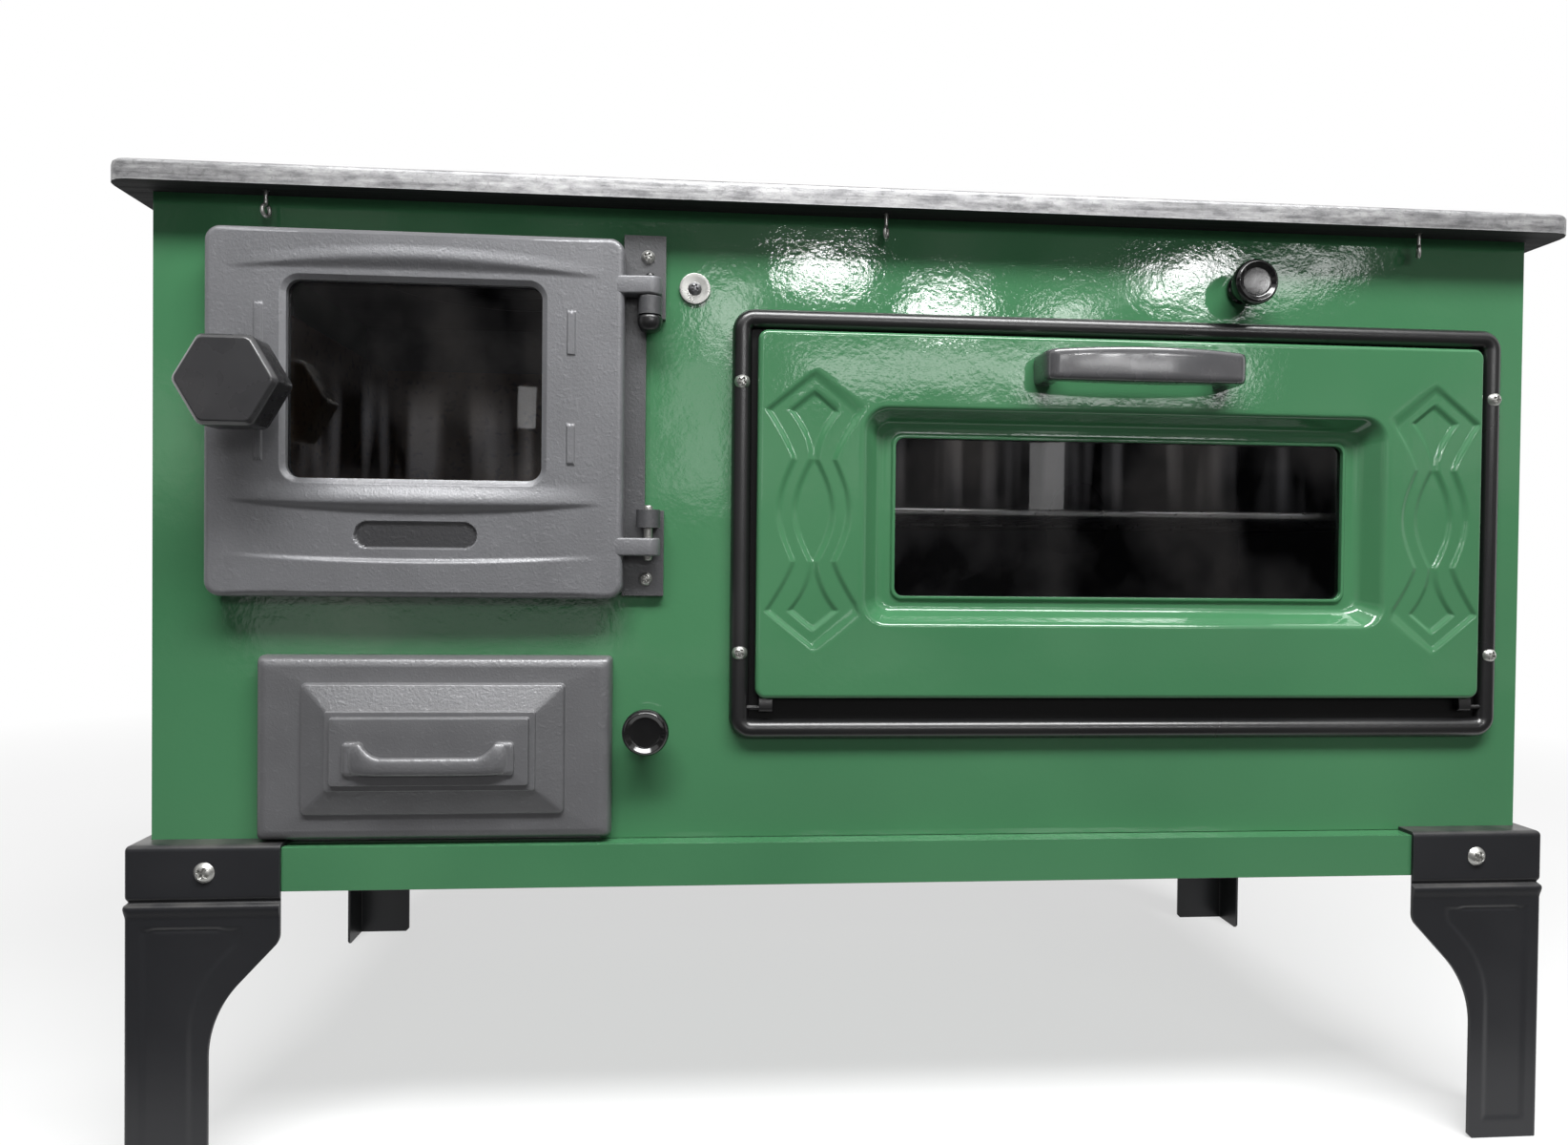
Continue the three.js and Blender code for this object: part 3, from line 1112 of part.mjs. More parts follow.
function rackPiece() {
  const [rackFront, rackRear] = [linerBack + rack.frontSpace, cavityRear - rack.rearSpace];
  const path = inset(boxFrom(
    cavity.left + rack.sideGap, cavity.right - rack.sideGap, rackFront, rackRear,
  ), rack.wire);
  const rings = Array.from({ length: counts.wireSides }, (_, k) => {
    const angle = (2 * Math.PI * (k + 0.5)) / counts.wireSides;
    const outward = -rack.wire * Math.cos(angle);
    return atZ(roundedRect(inset(path, outward), rack.corner - outward), rackZ + rack.wire * Math.sin(angle));
  });
  const pitch = path.width / (rack.bars + 1);
  const bars = Array.from({ length: rack.bars }, (_, k) => (
    barY(path.left + pitch * (k + 1), rackZ, rack.rod, path.bottom, path.top, counts.wireSides)
  ));
  return joinAll([skin(rings, true), ...bars]);
}
addPiece('oven_rack', rackPiece(), finish.zinc);

// Flue duct behind the damper, on a shelf that closes the channel behind the oven
const ductRoom = { left: damperX - duct.width / 2, right: damperX + duct.width / 2 };
const ductFoot = ovenTop + gap.seat;
addPiece('flue_duct', cutAll(joinAll([
  block(ductRoom.left, ductRoom.right, ductFront, rearInside, ductFoot, panelTop),
  block(
    bridge.right + gap.seat, right - sheet.casing - gap.seat, ductFront, rearInside,
    ductFoot, ductFoot + sheet.duct,
  ),
]), [
  block(
    ductRoom.left + sheet.duct, ductRoom.right - sheet.duct, ductFront + sheet.duct, rearInside - sheet.duct,
    ductFoot - gap.cut, panelTop + gap.cut,
  ),
  block(
    damperX - duct.windowWidth / 2, damperX + duct.windowWidth / 2, ductFront - gap.cut,
    ductFront + sheet.duct + gap.cut, damperZ - duct.windowHeight / 2, damperZ + duct.windowHeight / 2,
  ),
]), finish.rawSheet);

// Damper: its knob draws a plate off the duct's window
const damperBack = ductFront - gap.seat;
addPiece('damper_knob', pullKnob(damper.rod), finish.bakelite, [damperX, 0, damperZ]);
addPiece('damper_rod', barY(
  damperX, damperZ, damper.rod, knobRodEnd + gap.seat, ductFront + damper.tail,
), finish.rawSheet);
addPiece('damper_plate', block(
  damperX - damper.plateWidth / 2, damperX + damper.plateWidth / 2, damperBack - damper.plate, damperBack,
  damperZ - damper.plateHeight / 2, damperZ + damper.plateHeight / 2,
).subtract(barY(
  damperX, damperZ, damper.rod + gap.shank, damperBack - damper.plate - gap.cut, ductFront,
)), finish.rawSheet);

// The frame's origin: the middle of the footprint, on the floor
const reach = new THREE.Box3().setFromObject(stove).getCenter(new THREE.Vector3());
stove.position.set(-reach.x, -reach.y, 0);
const group = new THREE.Group();
group.name = 'cookstove';
group.add(stove);

export default group;
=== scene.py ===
# The looks of a small enamelled wood-burning cookstove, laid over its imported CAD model.
# Shapes are worked out in millimetres; "out" is how far a point stands in front of the front panel.
import json
import math

import bmesh
import bpy
import numpy as np
from mathutils import Matrix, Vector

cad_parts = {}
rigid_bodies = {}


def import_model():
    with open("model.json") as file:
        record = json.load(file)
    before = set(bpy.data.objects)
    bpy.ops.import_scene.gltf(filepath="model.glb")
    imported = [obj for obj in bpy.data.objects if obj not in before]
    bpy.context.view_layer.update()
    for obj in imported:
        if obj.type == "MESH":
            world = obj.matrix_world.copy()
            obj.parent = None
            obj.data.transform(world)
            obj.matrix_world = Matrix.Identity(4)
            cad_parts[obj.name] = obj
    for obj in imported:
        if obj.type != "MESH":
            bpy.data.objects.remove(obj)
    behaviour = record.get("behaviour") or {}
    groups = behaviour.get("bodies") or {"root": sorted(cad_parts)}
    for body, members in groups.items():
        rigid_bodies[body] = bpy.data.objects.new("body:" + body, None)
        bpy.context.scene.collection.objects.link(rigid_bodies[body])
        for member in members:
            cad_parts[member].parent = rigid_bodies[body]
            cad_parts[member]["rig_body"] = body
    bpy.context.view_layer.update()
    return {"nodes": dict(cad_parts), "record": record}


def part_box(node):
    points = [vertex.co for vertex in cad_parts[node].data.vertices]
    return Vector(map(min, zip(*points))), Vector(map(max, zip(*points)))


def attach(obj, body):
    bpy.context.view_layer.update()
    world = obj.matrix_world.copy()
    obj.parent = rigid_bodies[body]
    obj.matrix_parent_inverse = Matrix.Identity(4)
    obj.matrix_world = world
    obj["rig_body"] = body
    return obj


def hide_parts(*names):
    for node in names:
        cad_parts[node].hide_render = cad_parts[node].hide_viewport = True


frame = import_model()
metre = 0.001
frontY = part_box("front_panel")[0].y / metre
materials = {}


# Plain shape tools

def smooth(t):
    # 3 t^2 - 2 t^3 between 0 and 1
    t = np.clip(t, 0, 1)
    return t * t * (3 - 2 * t)


def rectOf(node, grow=0):
    # [x0, x1, z0, z1] of a node's front view, grown by so much on every side
    low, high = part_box(node)
    return np.array([low.x, high.x, low.z, high.z]) / metre + grow * np.array([-1, 1, -1, 1])


def middleOf(node):
    # The middle of a node's box
    low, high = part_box(node)
    return np.array((low + high) / 2) / metre


def cornersOf(node):
    # The lowest and the highest corner of a node's box
    return [np.array(corner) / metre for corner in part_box(node)]


def drawnIn(rect, inX, inZ):
    # One rectangle for each pair of insets
    return rect + np.stack([inX, -inX, inZ, -inZ], -1)


def roundedLoops(rects, radii, cornerSteps=8, across=1, up=1):
    # Rectangles with quarter-circle corners, centre + radius * (cos, sin); the straight sides are split
    # evenly into `across` and `up` runs, so that every loop has the same number of points
    angles = np.arange(4)[:, None] * math.pi / 2 + np.linspace(0, math.pi / 2, cornerSteps + 1)
    x0, x1, z0, z1 = rects.T
    radius = radii[:, None, None]
    middleX = np.stack([x1 - radii, x0 + radii, x0 + radii, x1 - radii], 1)[:, :, None]
    middleZ = np.stack([z1 - radii, z1 - radii, z0 + radii, z0 + radii], 1)[:, :, None]
    corners = np.stack([middleX + radius * np.cos(angles), middleZ + radius * np.sin(angles)], -1)
    pieces = []
    for corner, runs in enumerate([across, up, across, up]):
        start, end = corners[:, corner, -1], corners[:, (corner + 1) % 4, 0]
        share = np.linspace(0, 1, runs + 1)[None, 1:-1, None]
        pieces += [corners[:, corner], start[:, None] * (1 - share) + end[:, None] * share]
    return np.concatenate(pieces, 1)


def curved(start, corner, end, t):
    # (1 - t)^2 start + 2 t (1 - t) corner + t^2 end
    return (1 - t) ** 2 * start + 2 * t * (1 - t) * corner + t ** 2 * end


def eased(profile, reach, steps=4):
    # Every inner corner becomes a curve begun `reach` away along both sides, or a little short of halfway
    profile = np.asarray(profile, float)
    reach = np.broadcast_to(np.asarray(reach, float), len(profile))[1:-1, None]
    corner, mostShare, tiny = profile[1:-1], 0.49, 1e-6

    def towards(target):
        # corner + step * reach / length of the step
        step = target - corner
        length = np.linalg.norm(step[:, :3], axis=1, keepdims=True)
        return (corner + step * np.minimum(reach / np.maximum(length, tiny), mostShare))[:, None]

    t = np.linspace(0, 1, steps + 1)[None, :, None]
    curve = curved(towards(profile[:-2]), corner[:, None], towards(profile[2:]), t)
    return np.concatenate([profile[:1], curve.reshape(-1, profile.shape[1]), profile[-1:]])


def frontRings(rect, profile, cornerSteps=8, across=1, up=1):
    # Rounded rectangles stacked along a profile of [in along x, in along z, out, corner radius]
    profile, leastCorner = np.asarray(profile, float), 0.3
    rects, corners = drawnIn(rect, profile[:, 0], profile[:, 1]), np.maximum(profile[:, 3], leastCorner)
    loops = roundedLoops(rects, corners, cornerSteps, across, up)
    depth = np.broadcast_to(frontY - profile[:, 2, None], loops.shape[:2])
    return np.stack([loops[..., 0], depth, loops[..., 1]], -1)


def shell(rings, joined=False):
    # Neighbouring rings make quads; the end rings close on their middles, or on each other
    rows, columns = rings.shape[:2]
    grid = np.arange(rows * columns).reshape(rows, columns)
    ahead = np.roll(grid, -1, axis=1)
    below = grid if joined else grid[:-1]
    belowAhead = ahead if joined else ahead[:-1]
    above = np.roll(grid, -1, axis=0) if joined else grid[1:]
    aboveAhead = np.roll(ahead, -1, axis=0) if joined else ahead[1:]
    quads = np.stack([below, belowAhead, aboveAhead, above], -1).reshape(-1, 4)
    triangles = np.zeros((0, 3), int)
    points = rings.reshape(-1, 3)
    if not joined:
        first = np.full(columns, rows * columns)
        triangles = np.vstack([
            np.stack([ahead[0], grid[0], first], -1), np.stack([grid[-1], ahead[-1], first + 1], -1),
        ])
        points = np.vstack([points, rings[0].mean(0), rings[-1].mean(0)])
    halves = np.vstack([quads[:, [0, 1, 2]], quads[:, [0, 2, 3]], triangles])
    a, b, c = (points[halves[:, k]] - points[0] for k in range(3))
    if np.einsum("ij,ij->", a, np.cross(b, c)) < 0:
        quads, triangles = quads[:, ::-1], triangles[:, ::-1]
    return points, quads, triangles


def sheetShell(outer, inner):
    # Two grids of points, front and back of a bent sheet, joined all round their borders
    rows, columns = outer.shape[:2]
    grid = np.arange(rows * columns).reshape(rows, columns)
    front = np.stack([grid[:-1, :-1], grid[:-1, 1:], grid[1:, 1:], grid[1:, :-1]], -1).reshape(-1, 4)
    border = np.concatenate([grid[0], grid[1:, -1], grid[-1, -2::-1], grid[-2:0:-1, 0]])
    ahead = np.roll(border, -1)
    rim = np.stack([ahead, border, border + grid.size, ahead + grid.size], -1)
    points = np.concatenate([outer.reshape(-1, 3), inner.reshape(-1, 3)])
    quads = np.vstack([front, front[:, ::-1] + grid.size, rim])
    a, b, c = (points[quads[:, k]] - points[0] for k in range(3))
    d = points[quads[:, 3]] - points[0]
    if np.einsum("ij,ij->", a, np.cross(b, c)) + np.einsum("ij,ij->", a, np.cross(c, d)) < 0:
        quads = quads[:, ::-1]
    return points, quads, np.zeros((0, 3), int)


def turned(centre, faceY, profile, sides=48, facing=1):
    # A profile of [radius, out from faceY] turned about a line along y through centre (x, z)
    profile = np.asarray(profile, float)
    angles = np.linspace(0, 2 * math.pi, sides, endpoint=False)
    radius, out = profile[:, :1], profile[:, 1:]
    x = centre[0] + radius * np.cos(angles)
    z = centre[1] + radius * np.sin(angles)
    return np.stack([x, np.broadcast_to(faceY - facing * out, x.shape), z], -1)


def stood(centre, profile, sides=48):
    # A profile of [radius, height] turned about an upright line through centre (x, y)
    profile = np.asarray(profile, float)
    angles = np.linspace(0, 2 * math.pi, sides, endpoint=False)
    radius, height = profile[:, :1], profile[:, 1:]
    x = centre[0] + radius * np.cos(angles)
    y = centre[1] + radius * np.sin(angles)
    return np.stack([x, y, np.broadcast_to(height, x.shape)], -1)


def swept(path, section, upward=(0, 0, 1), widths=1):
    # A section of [sideways, upward] points carried along a path, square to it; sideways is the path's
    # direction crossed with `upward`, and `widths` stretches the section's second number along the way
    path, section = np.asarray(path, float), np.asarray(section, float)
    along = np.gradient(path, axis=0)
    along /= np.linalg.norm(along, axis=1, keepdims=True)
    side = np.cross(along, upward)
    side /= np.linalg.norm(side, axis=1, keepdims=True)
    over = np.cross(side, along)
    stretch = np.broadcast_to(np.asarray(widths, float), len(path))[:, None, None]
    return (
        path[:, None] + side[:, None] * section[None, :, :1] + over[:, None] * section[None, :, 1:] * stretch
    )


def roundSection(radius, sides=12):
    # radius * (cos, sin)
    angles = np.linspace(0, 2 * math.pi, sides, endpoint=False)
    return radius * np.stack([np.cos(angles), np.sin(angles)], -1)


def boxySection(halfWide, halfTall, power=5, sides=40):
    # A superellipse: each half size times sign(cos) |cos|^(2 / power), and the same with sin
    angles = np.linspace(0, 2 * math.pi, sides, endpoint=False)
    bent = [np.sign(f) * np.abs(f) ** (2 / power) for f in (np.cos(angles), np.sin(angles))]
    return np.stack([halfWide * bent[0], halfTall * bent[1]], -1)


def makePiece(name, shells, finish, body, replaced=(), sharpAngle=35, hollow=None):
    # One mesh object from closed shells of (points, quads, triangles); `hollow` marks the first points
    points, corners, sizes, base = [], [], [], 0
    for shellPoints, quads, triangles in shells:
        points.append(shellPoints)
        corners += [quads.ravel() + base, triangles.ravel() + base]
        sizes += [np.full(len(quads), 4), np.full(len(triangles), 3)]
        base += len(shellPoints)
    points, corners, sizes = np.vstack(points) * metre, np.concatenate(corners), np.concatenate(sizes)
    mesh = bpy.data.meshes.new(name)
    mesh.vertices.add(len(points))
    mesh.vertices.foreach_set("co", points.astype(np.float32).ravel())
    mesh.loops.add(len(corners))
    mesh.loops.foreach_set("vertex_index", corners.astype(np.int32))
    mesh.polygons.add(len(sizes))
    mesh.polygons.foreach_set("loop_start", (np.cumsum(sizes) - sizes).astype(np.int32))
    mesh.update(calc_edges=True)
    if hollow is not None:
        marks = np.zeros(len(points), np.float32)
        marks[:hollow.size] = hollow.ravel()
        mesh.attributes.new("hollow", "FLOAT", "POINT").data.foreach_set("value", marks)
    mesh.validate()
    mesh.shade_smooth()
    mesh.set_sharp_from_angle(angle=math.radians(sharpAngle))
    return placePiece(name, mesh, finish, body, replaced)


def linked(name, data):
    # A new object of the scene that shows this mesh, lamp or camera
    made = bpy.data.objects.new(name, data)
    bpy.context.scene.collection.objects.link(made)
    return made


def placePiece(name, mesh, finish, body, replaced):
    # The mesh gets its finish, the body that it moves with and the CAD nodes that it stands for
    mesh.materials.clear()
    mesh.materials.append(materials[finish])
    piece = linked(name, mesh)
    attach(piece, body)
    if replaced:
        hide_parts(*replaced)
    return piece


def softened(node, width, finish=None, steps=3, angle=35):
    # A copy of a CAD node, its triangles joined into flat faces and its sharp edges rounded over by `width`
    limit = {"merge": 1e-6, "flat": math.radians(1)}
    source = frame["nodes"][node]
    mesh = source.data.copy()
    shape = bmesh.new()
    shape.from_mesh(mesh)
    bmesh.ops.remove_doubles(shape, verts=shape.verts, dist=limit["merge"])
    bmesh.ops.dissolve_limit(shape, angle_limit=limit["flat"], verts=shape.verts, edges=shape.edges)
    shape.to_mesh(mesh)
    shape.free()
    if "custom_normal" in mesh.attributes:
        mesh.attributes.remove(mesh.attributes["custom_normal"])
    mesh.shade_smooth()
    piece = placePiece(node + "_soft", mesh, finish or slotOf[node], source["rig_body"], [node])
    rounding = piece.modifiers.new("rounding", "BEVEL")
    rounding.width = width * metre
    rounding.segments = steps
    rounding.limit_method = "ANGLE"
    rounding.angle_limit = math.radians(angle)
    rounding.harden_normals = True
    return piece


# Material tools

def addNode(tree, kind, settings=None, **inputs):
    # A shader node; an input is a number, a colour or another node's output
    made = tree.nodes.new("ShaderNode" + kind)
    for key, value in (settings or {}).items():
        setattr(made, key, value)
    for key, value in inputs.items():
        setInput(tree, made.inputs[key.replace("_", " ")], value)
    return made


def setInput(tree, socket, value):
    # A link where the value is another node's output, a plain number or colour otherwise
    if isinstance(value, bpy.types.NodeSocket):
        tree.links.new(value, socket)
    else:
        socket.default_value = value


def mathOf(tree, operation, *values):
    # One step of arithmetic, such as first * second for MULTIPLY
    made = addNode(tree, "Math", {"operation": operation})
    for socket, value in zip(made.inputs, values):
        setInput(tree, socket, value)
    return made.outputs[0]


def between(tree, value, low, high, first=0.0, last=1.0):
    # value from low..high spread over first..last, held at the ends
    made = addNode(tree, "MapRange", Value=value)
    for socket, number in zip(list(made.inputs)[1:5], (low, high, first, last)):
        setInput(tree, socket, number)
    return made.outputs[0]


def mixed(tree, share, first, second):
    # Colour: first * (1 - share) + second * share
    made = addNode(tree, "Mix", {"data_type": "RGBA"})
    for place, value in ((0, share), (6, first), (7, second)):
        setInput(tree, made.inputs[place], value)
    return made.outputs[2]


def noise(tree, vector, scale, detail=2.0, roughness=0.5):
    # Soft noise about 0.5, `scale` cells to the metre
    made = addNode(tree, "TexNoise", Vector=vector, Scale=scale, Detail=detail, Roughness=roughness)
    return made.outputs[0]


def newEffect(name, inputs, outputs):
    # An empty node group with named numbers; gives its tree, what it is given and where its results go
    tree = bpy.data.node_groups.new(name, "ShaderNodeTree")
    for label, value in inputs.items():
        tree.interface.new_socket(label, in_out="INPUT", socket_type="NodeSocketFloat").default_value = value
    for label in outputs:
        tree.interface.new_socket(label, in_out="OUTPUT", socket_type="NodeSocketFloat")
    return tree, tree.nodes.new("NodeGroupInput").outputs, tree.nodes.new("NodeGroupOutput").inputs


def makeGrain():
    # Fine grain, soft patches and scattered specks, all from noise on the piece's own coordinates
    tree, given, result = newEffect(
        "grainEffect", {"Fine Scale": 900.0, "Patch Scale": 18.0, "Speck Scale": 400.0},
        ["Fine", "Patches", "Specks"],
    )
    where = addNode(tree, "TexCoord").outputs["Object"]
    tree.links.new(noise(tree, where, given["Fine Scale"], 3.0, 0.6), result["Fine"])
    tree.links.new(noise(tree, where, given["Patch Scale"], 3.0), result["Patches"])
    specks = noise(tree, where, given["Speck Scale"], 1.0)
    tree.links.new(between(tree, specks, 0.6, 0.7), result["Specks"])
    return tree


def makeEdgeWear():
    # 1 where the surface bends outwards within the radius: 1 - rounded normal . true normal, roughened
    tree, given, result = newEffect("edgeWearEffect", {"Radius": 0.0015, "Reach": 0.25}, ["Edges"])
    rounded = addNode(tree, "Bevel", {"samples": 4}, Radius=given["Radius"]).outputs[0]
    plain = addNode(tree, "NewGeometry").outputs["Normal"]
    alike = addNode(tree, "VectorMath", {"operation": "DOT_PRODUCT"})
    tree.links.new(rounded, alike.inputs[0])
    tree.links.new(plain, alike.inputs[1])
    bend = mathOf(tree, "SUBTRACT", 1.0, alike.outputs["Value"])
    where = addNode(tree, "TexCoord").outputs["Object"]
    worn = mathOf(tree, "MULTIPLY", bend, between(tree, noise(tree, where, 300.0), 0.35, 0.6, 0.5, 1.0))
    tree.links.new(between(tree, worn, 0.0, given["Reach"]), result["Edges"])
    return tree


def makeDust():
    # Dust lies where the surface faces up: upward share of the normal times a soft noise
    tree, given, result = newEffect("dustEffect", {"Amount": 0.3, "Scale": 40.0}, ["Dust"])
    coordinates = addNode(tree, "TexCoord").outputs
    upward = addNode(tree, "SeparateXYZ", Vector=coordinates["Normal"]).outputs["Z"]
    lying = between(tree, upward, 0.3, 1.0)
    cloud = between(tree, noise(tree, coordinates["Object"], given["Scale"], 4.0), 0.3, 0.7)
    tree.links.new(
        mathOf(tree, "MULTIPLY", mathOf(tree, "MULTIPLY", lying, cloud), given["Amount"]), result["Dust"],
    )
    return tree


effects = {"grain": makeGrain(), "edges": makeEdgeWear(), "dust": makeDust()}


def useEffect(tree, name, **inputs):
    # The effect's group, placed in a material with that material's own values
    return addNode(tree, "Group", {"node_tree": effects[name]}, **inputs).outputs


def newFinish(name, **settings):
    # A material whose plain numbers sit on the shader's own sockets
    material = bpy.data.materials.new(name)
    material.use_nodes = True
    tree = material.node_tree
    shader = tree.nodes["Principled BSDF"]
    for key, value in settings.items():
        shader.inputs[key.replace("_", " ")].default_value = value
    materials[name] = material
    return tree, shader.inputs


def bumped(tree, shaderInputs, height, distance):
    # The normal leans as if the surface stood `height` times `distance` higher
    bump = addNode(tree, "Bump", Strength=1.0, Distance=distance, Height=height)
    tree.links.new(bump.outputs[0], shaderInputs["Normal"])


def enamel(name, colour, shade, gloss, wave, peel, specular):
    # Glassy enamel over pressed sheet: slow waves and a fine orange peel, both given in millimetres
    tree, inputs = newFinish(name, IOR=1.5, Specular_IOR_Level=specular)
    grain = useEffect(tree, "grain", Fine_Scale=330.0, Patch_Scale=26.0)
    cloud = noise(tree, addNode(tree, "TexCoord").outputs["Object"], 5.0)
    tone = mixed(tree, between(tree, cloud, 0.35, 0.65), (*shade, 1), (*colour, 1))
    tree.links.new(tone, inputs["Base Color"])
    tree.links.new(between(tree, cloud, 0.3, 0.7, gloss, gloss * 1.6), inputs["Roughness"])
    waves = mathOf(tree, "MULTIPLY", grain["Patches"], wave)
    pimples = mathOf(tree, "MULTIPLY", grain["Fine"], peel)
    bumped(tree, inputs, mathOf(tree, "ADD", waves, pimples), metre)


def casting(name, colour, bright, roughness, metallic):
    # Sand-cast iron under a thin grey paint: sandy skin, cloudy tone, rubbed edges, and near black where
    # `hollow` marks a sunk place, the badge's dark paint together with painted shade
    tree, inputs = newFinish(name, Metallic=metallic, Specular_IOR_Level=0.8)
    amount = {"darker": 0.82, "lighter": 1.16, "smoother": 0.06, "rougher": 0.08, "sand": 0.2, "lump": 0.06}
    dirt, sunkPaintAndShade = (0.3, 0.28, 0.25, 1), (0.02, 0.02, 0.022, 1)
    low, high = ((*[amount[side] * c for c in colour], 1) for side in ("darker", "lighter"))
    grain = useEffect(tree, "grain", Fine_Scale=620.0, Patch_Scale=30.0, Speck_Scale=240.0)
    edges = useEffect(tree, "edges", Radius=0.0014, Reach=0.5)["Edges"]
    dust = useEffect(tree, "dust", Amount=0.1)["Dust"]
    base = mixed(tree, grain["Patches"], low, high)
    speckled = mixed(tree, mathOf(tree, "MULTIPLY", grain["Specks"], 0.04), base, (*bright, 1))
    worn = mixed(tree, mathOf(tree, "MULTIPLY", edges, 0.6), speckled, (*bright, 1))
    dusty = mixed(tree, dust, worn, dirt)
    # Where `hollow` marks the sunk oval the colour goes near black: the badge's dark paint together with
    # painted shade
    hollow = addNode(tree, "Attribute", {"attribute_name": "hollow"}).outputs["Fac"]
    tree.links.new(mixed(tree, hollow, dusty, sunkPaintAndShade), inputs["Base Color"])
    smoothest, roughest = roughness - amount["smoother"], roughness + amount["rougher"]
    tree.links.new(between(tree, grain["Fine"], 0.3, 0.7, smoothest, roughest), inputs["Roughness"])
    lumps = mathOf(tree, "MULTIPLY", grain["Specks"], amount["lump"])
    sand = mathOf(tree, "MULTIPLY", grain["Fine"], amount["sand"])
    bumped(tree, inputs, mathOf(tree, "ADD", sand, lumps), metre)


def groundIron():
    # The plate: iron ground bright, grinding lines along x, dark pores and patches, black underneath
    tree, inputs = newFinish("plate_iron")
    tone = {
        "lineDark": (0.09, 0.09, 0.095, 1), "lineLight": (0.38, 0.38, 0.39, 1),
        "patchDark": (0.14, 0.14, 0.145, 1), "patchLight": (0.46, 0.46, 0.46, 1),
        "pore": (0.1, 0.1, 0.1, 1), "rubbed": (0.66, 0.66, 0.67, 1), "under": (0.006, 0.006, 0.007, 1),
    }
    grain = useEffect(tree, "grain", Fine_Scale=700.0, Patch_Scale=22.0, Speck_Scale=330.0)
    edges = useEffect(tree, "edges", Radius=0.002, Reach=0.4)["Edges"]
    where = addNode(tree, "TexCoord").outputs["Object"]
    stretched = addNode(tree, "Mapping", Vector=where, Scale=(12.0, 420.0, 420.0))
    lines = noise(tree, stretched.outputs[0], 1.0, 3.0, 0.6)
    base = mixed(tree, between(tree, lines, 0.3, 0.7), tone["lineDark"], tone["lineLight"])
    drawn = addNode(tree, "Mapping", Vector=where, Scale=(55.0, 190.0, 190.0))
    cloud = noise(tree, drawn.outputs[0], 1.0, 5.0, 0.7)
    mottled = mixed(tree, between(tree, cloud, 0.35, 0.65), tone["patchDark"], tone["patchLight"])
    patched = mixed(tree, between(tree, grain["Patches"], 0.35, 0.6, 0.5, 0.85), base, mottled)
    pored = mixed(tree, mathOf(tree, "MULTIPLY", grain["Specks"], 0.3), patched, tone["pore"])
    rubbed = mixed(tree, edges, pored, tone["rubbed"])
    upward = addNode(tree, "SeparateXYZ", Vector=addNode(tree, "TexCoord").outputs["Normal"]).outputs["Z"]
    under = between(tree, upward, -0.75, -0.9)
    tree.links.new(mixed(tree, under, rubbed, tone["under"]), inputs["Base Color"])
    tree.links.new(between(tree, under, 0.0, 1.0, 0.55, 0.0), inputs["Metallic"])
    plain = between(tree, lines, 0.3, 0.7, 0.34, 0.55)
    tree.links.new(mathOf(tree, "ADD", plain, mathOf(tree, "MULTIPLY", under, 0.4)), inputs["Roughness"])
    bumped(tree, inputs, mathOf(tree, "ADD", lines, grain["Fine"]), 0.00008)


def legPaint():
    # Charcoal paint sprayed over sheet: a fine peel, softly worn folds
    tree, inputs = newFinish("leg_paint", Specular_IOR_Level=0.35)
    dark, light, rubbed = (0.014, 0.0145, 0.0165, 1), (0.021, 0.0215, 0.024, 1), (0.13, 0.13, 0.135, 1)
    dirt = (0.25, 0.24, 0.22, 1)
    grain = useEffect(tree, "grain", Fine_Scale=800.0, Patch_Scale=14.0)
    edges = useEffect(tree, "edges", Radius=0.0014, Reach=0.6)["Edges"]
    dust = useEffect(tree, "dust", Amount=0.25)["Dust"]
    base = mixed(tree, grain["Patches"], dark, light)
    worn = mixed(tree, mathOf(tree, "MULTIPLY", edges, 0.35), base, rubbed)
    tree.links.new(mixed(tree, dust, worn, dirt), inputs["Base Color"])
    tree.links.new(between(tree, grain["Patches"], 0.3, 0.7, 0.3, 0.4), inputs["Roughness"])
    bumped(tree, inputs, grain["Fine"], 0.00005)


def brightMetal(name, dark, light, roughness):
    # Zinc plate and plain sheet steel: a cloudy bloom and fine scratches
    tree, inputs = newFinish(name, Metallic=0.85)
    grain = useEffect(tree, "grain", Fine_Scale=1200.0, Patch_Scale=120.0, Speck_Scale=500.0)
    tree.links.new(mixed(tree, grain["Patches"], (*dark, 1), (*light, 1)), inputs["Base Color"])
    tree.links.new(
        between(tree, grain["Patches"], 0.3, 0.7, roughness - 0.08, roughness + 0.1), inputs["Roughness"],
    )
    bumped(tree, inputs, grain["Fine"], 0.00004)


def bakelite(name, dark, light, gloss, coat):
    # Moulded black plastic with a faint mottle and softly rubbed edges
    tree, inputs = newFinish(name, Coat_Weight=coat, Coat_Roughness=0.12)
    grain = useEffect(tree, "grain", Fine_Scale=700.0, Patch_Scale=60.0)
    edges = useEffect(tree, "edges", Radius=0.001, Reach=0.8)["Edges"]
    base = mixed(tree, grain["Patches"], (dark, dark, dark * 1.06, 1), (light, light, light * 1.06, 1))
    tree.links.new(
        mixed(tree, mathOf(tree, "MULTIPLY", edges, 0.12), base, (0.08, 0.08, 0.08, 1)), inputs["Base Color"],
    )
    tree.links.new(between(tree, grain["Patches"], 0.3, 0.7, gloss, gloss + 0.08), inputs["Roughness"])
    bumped(tree, inputs, grain["Fine"], 0.00003)


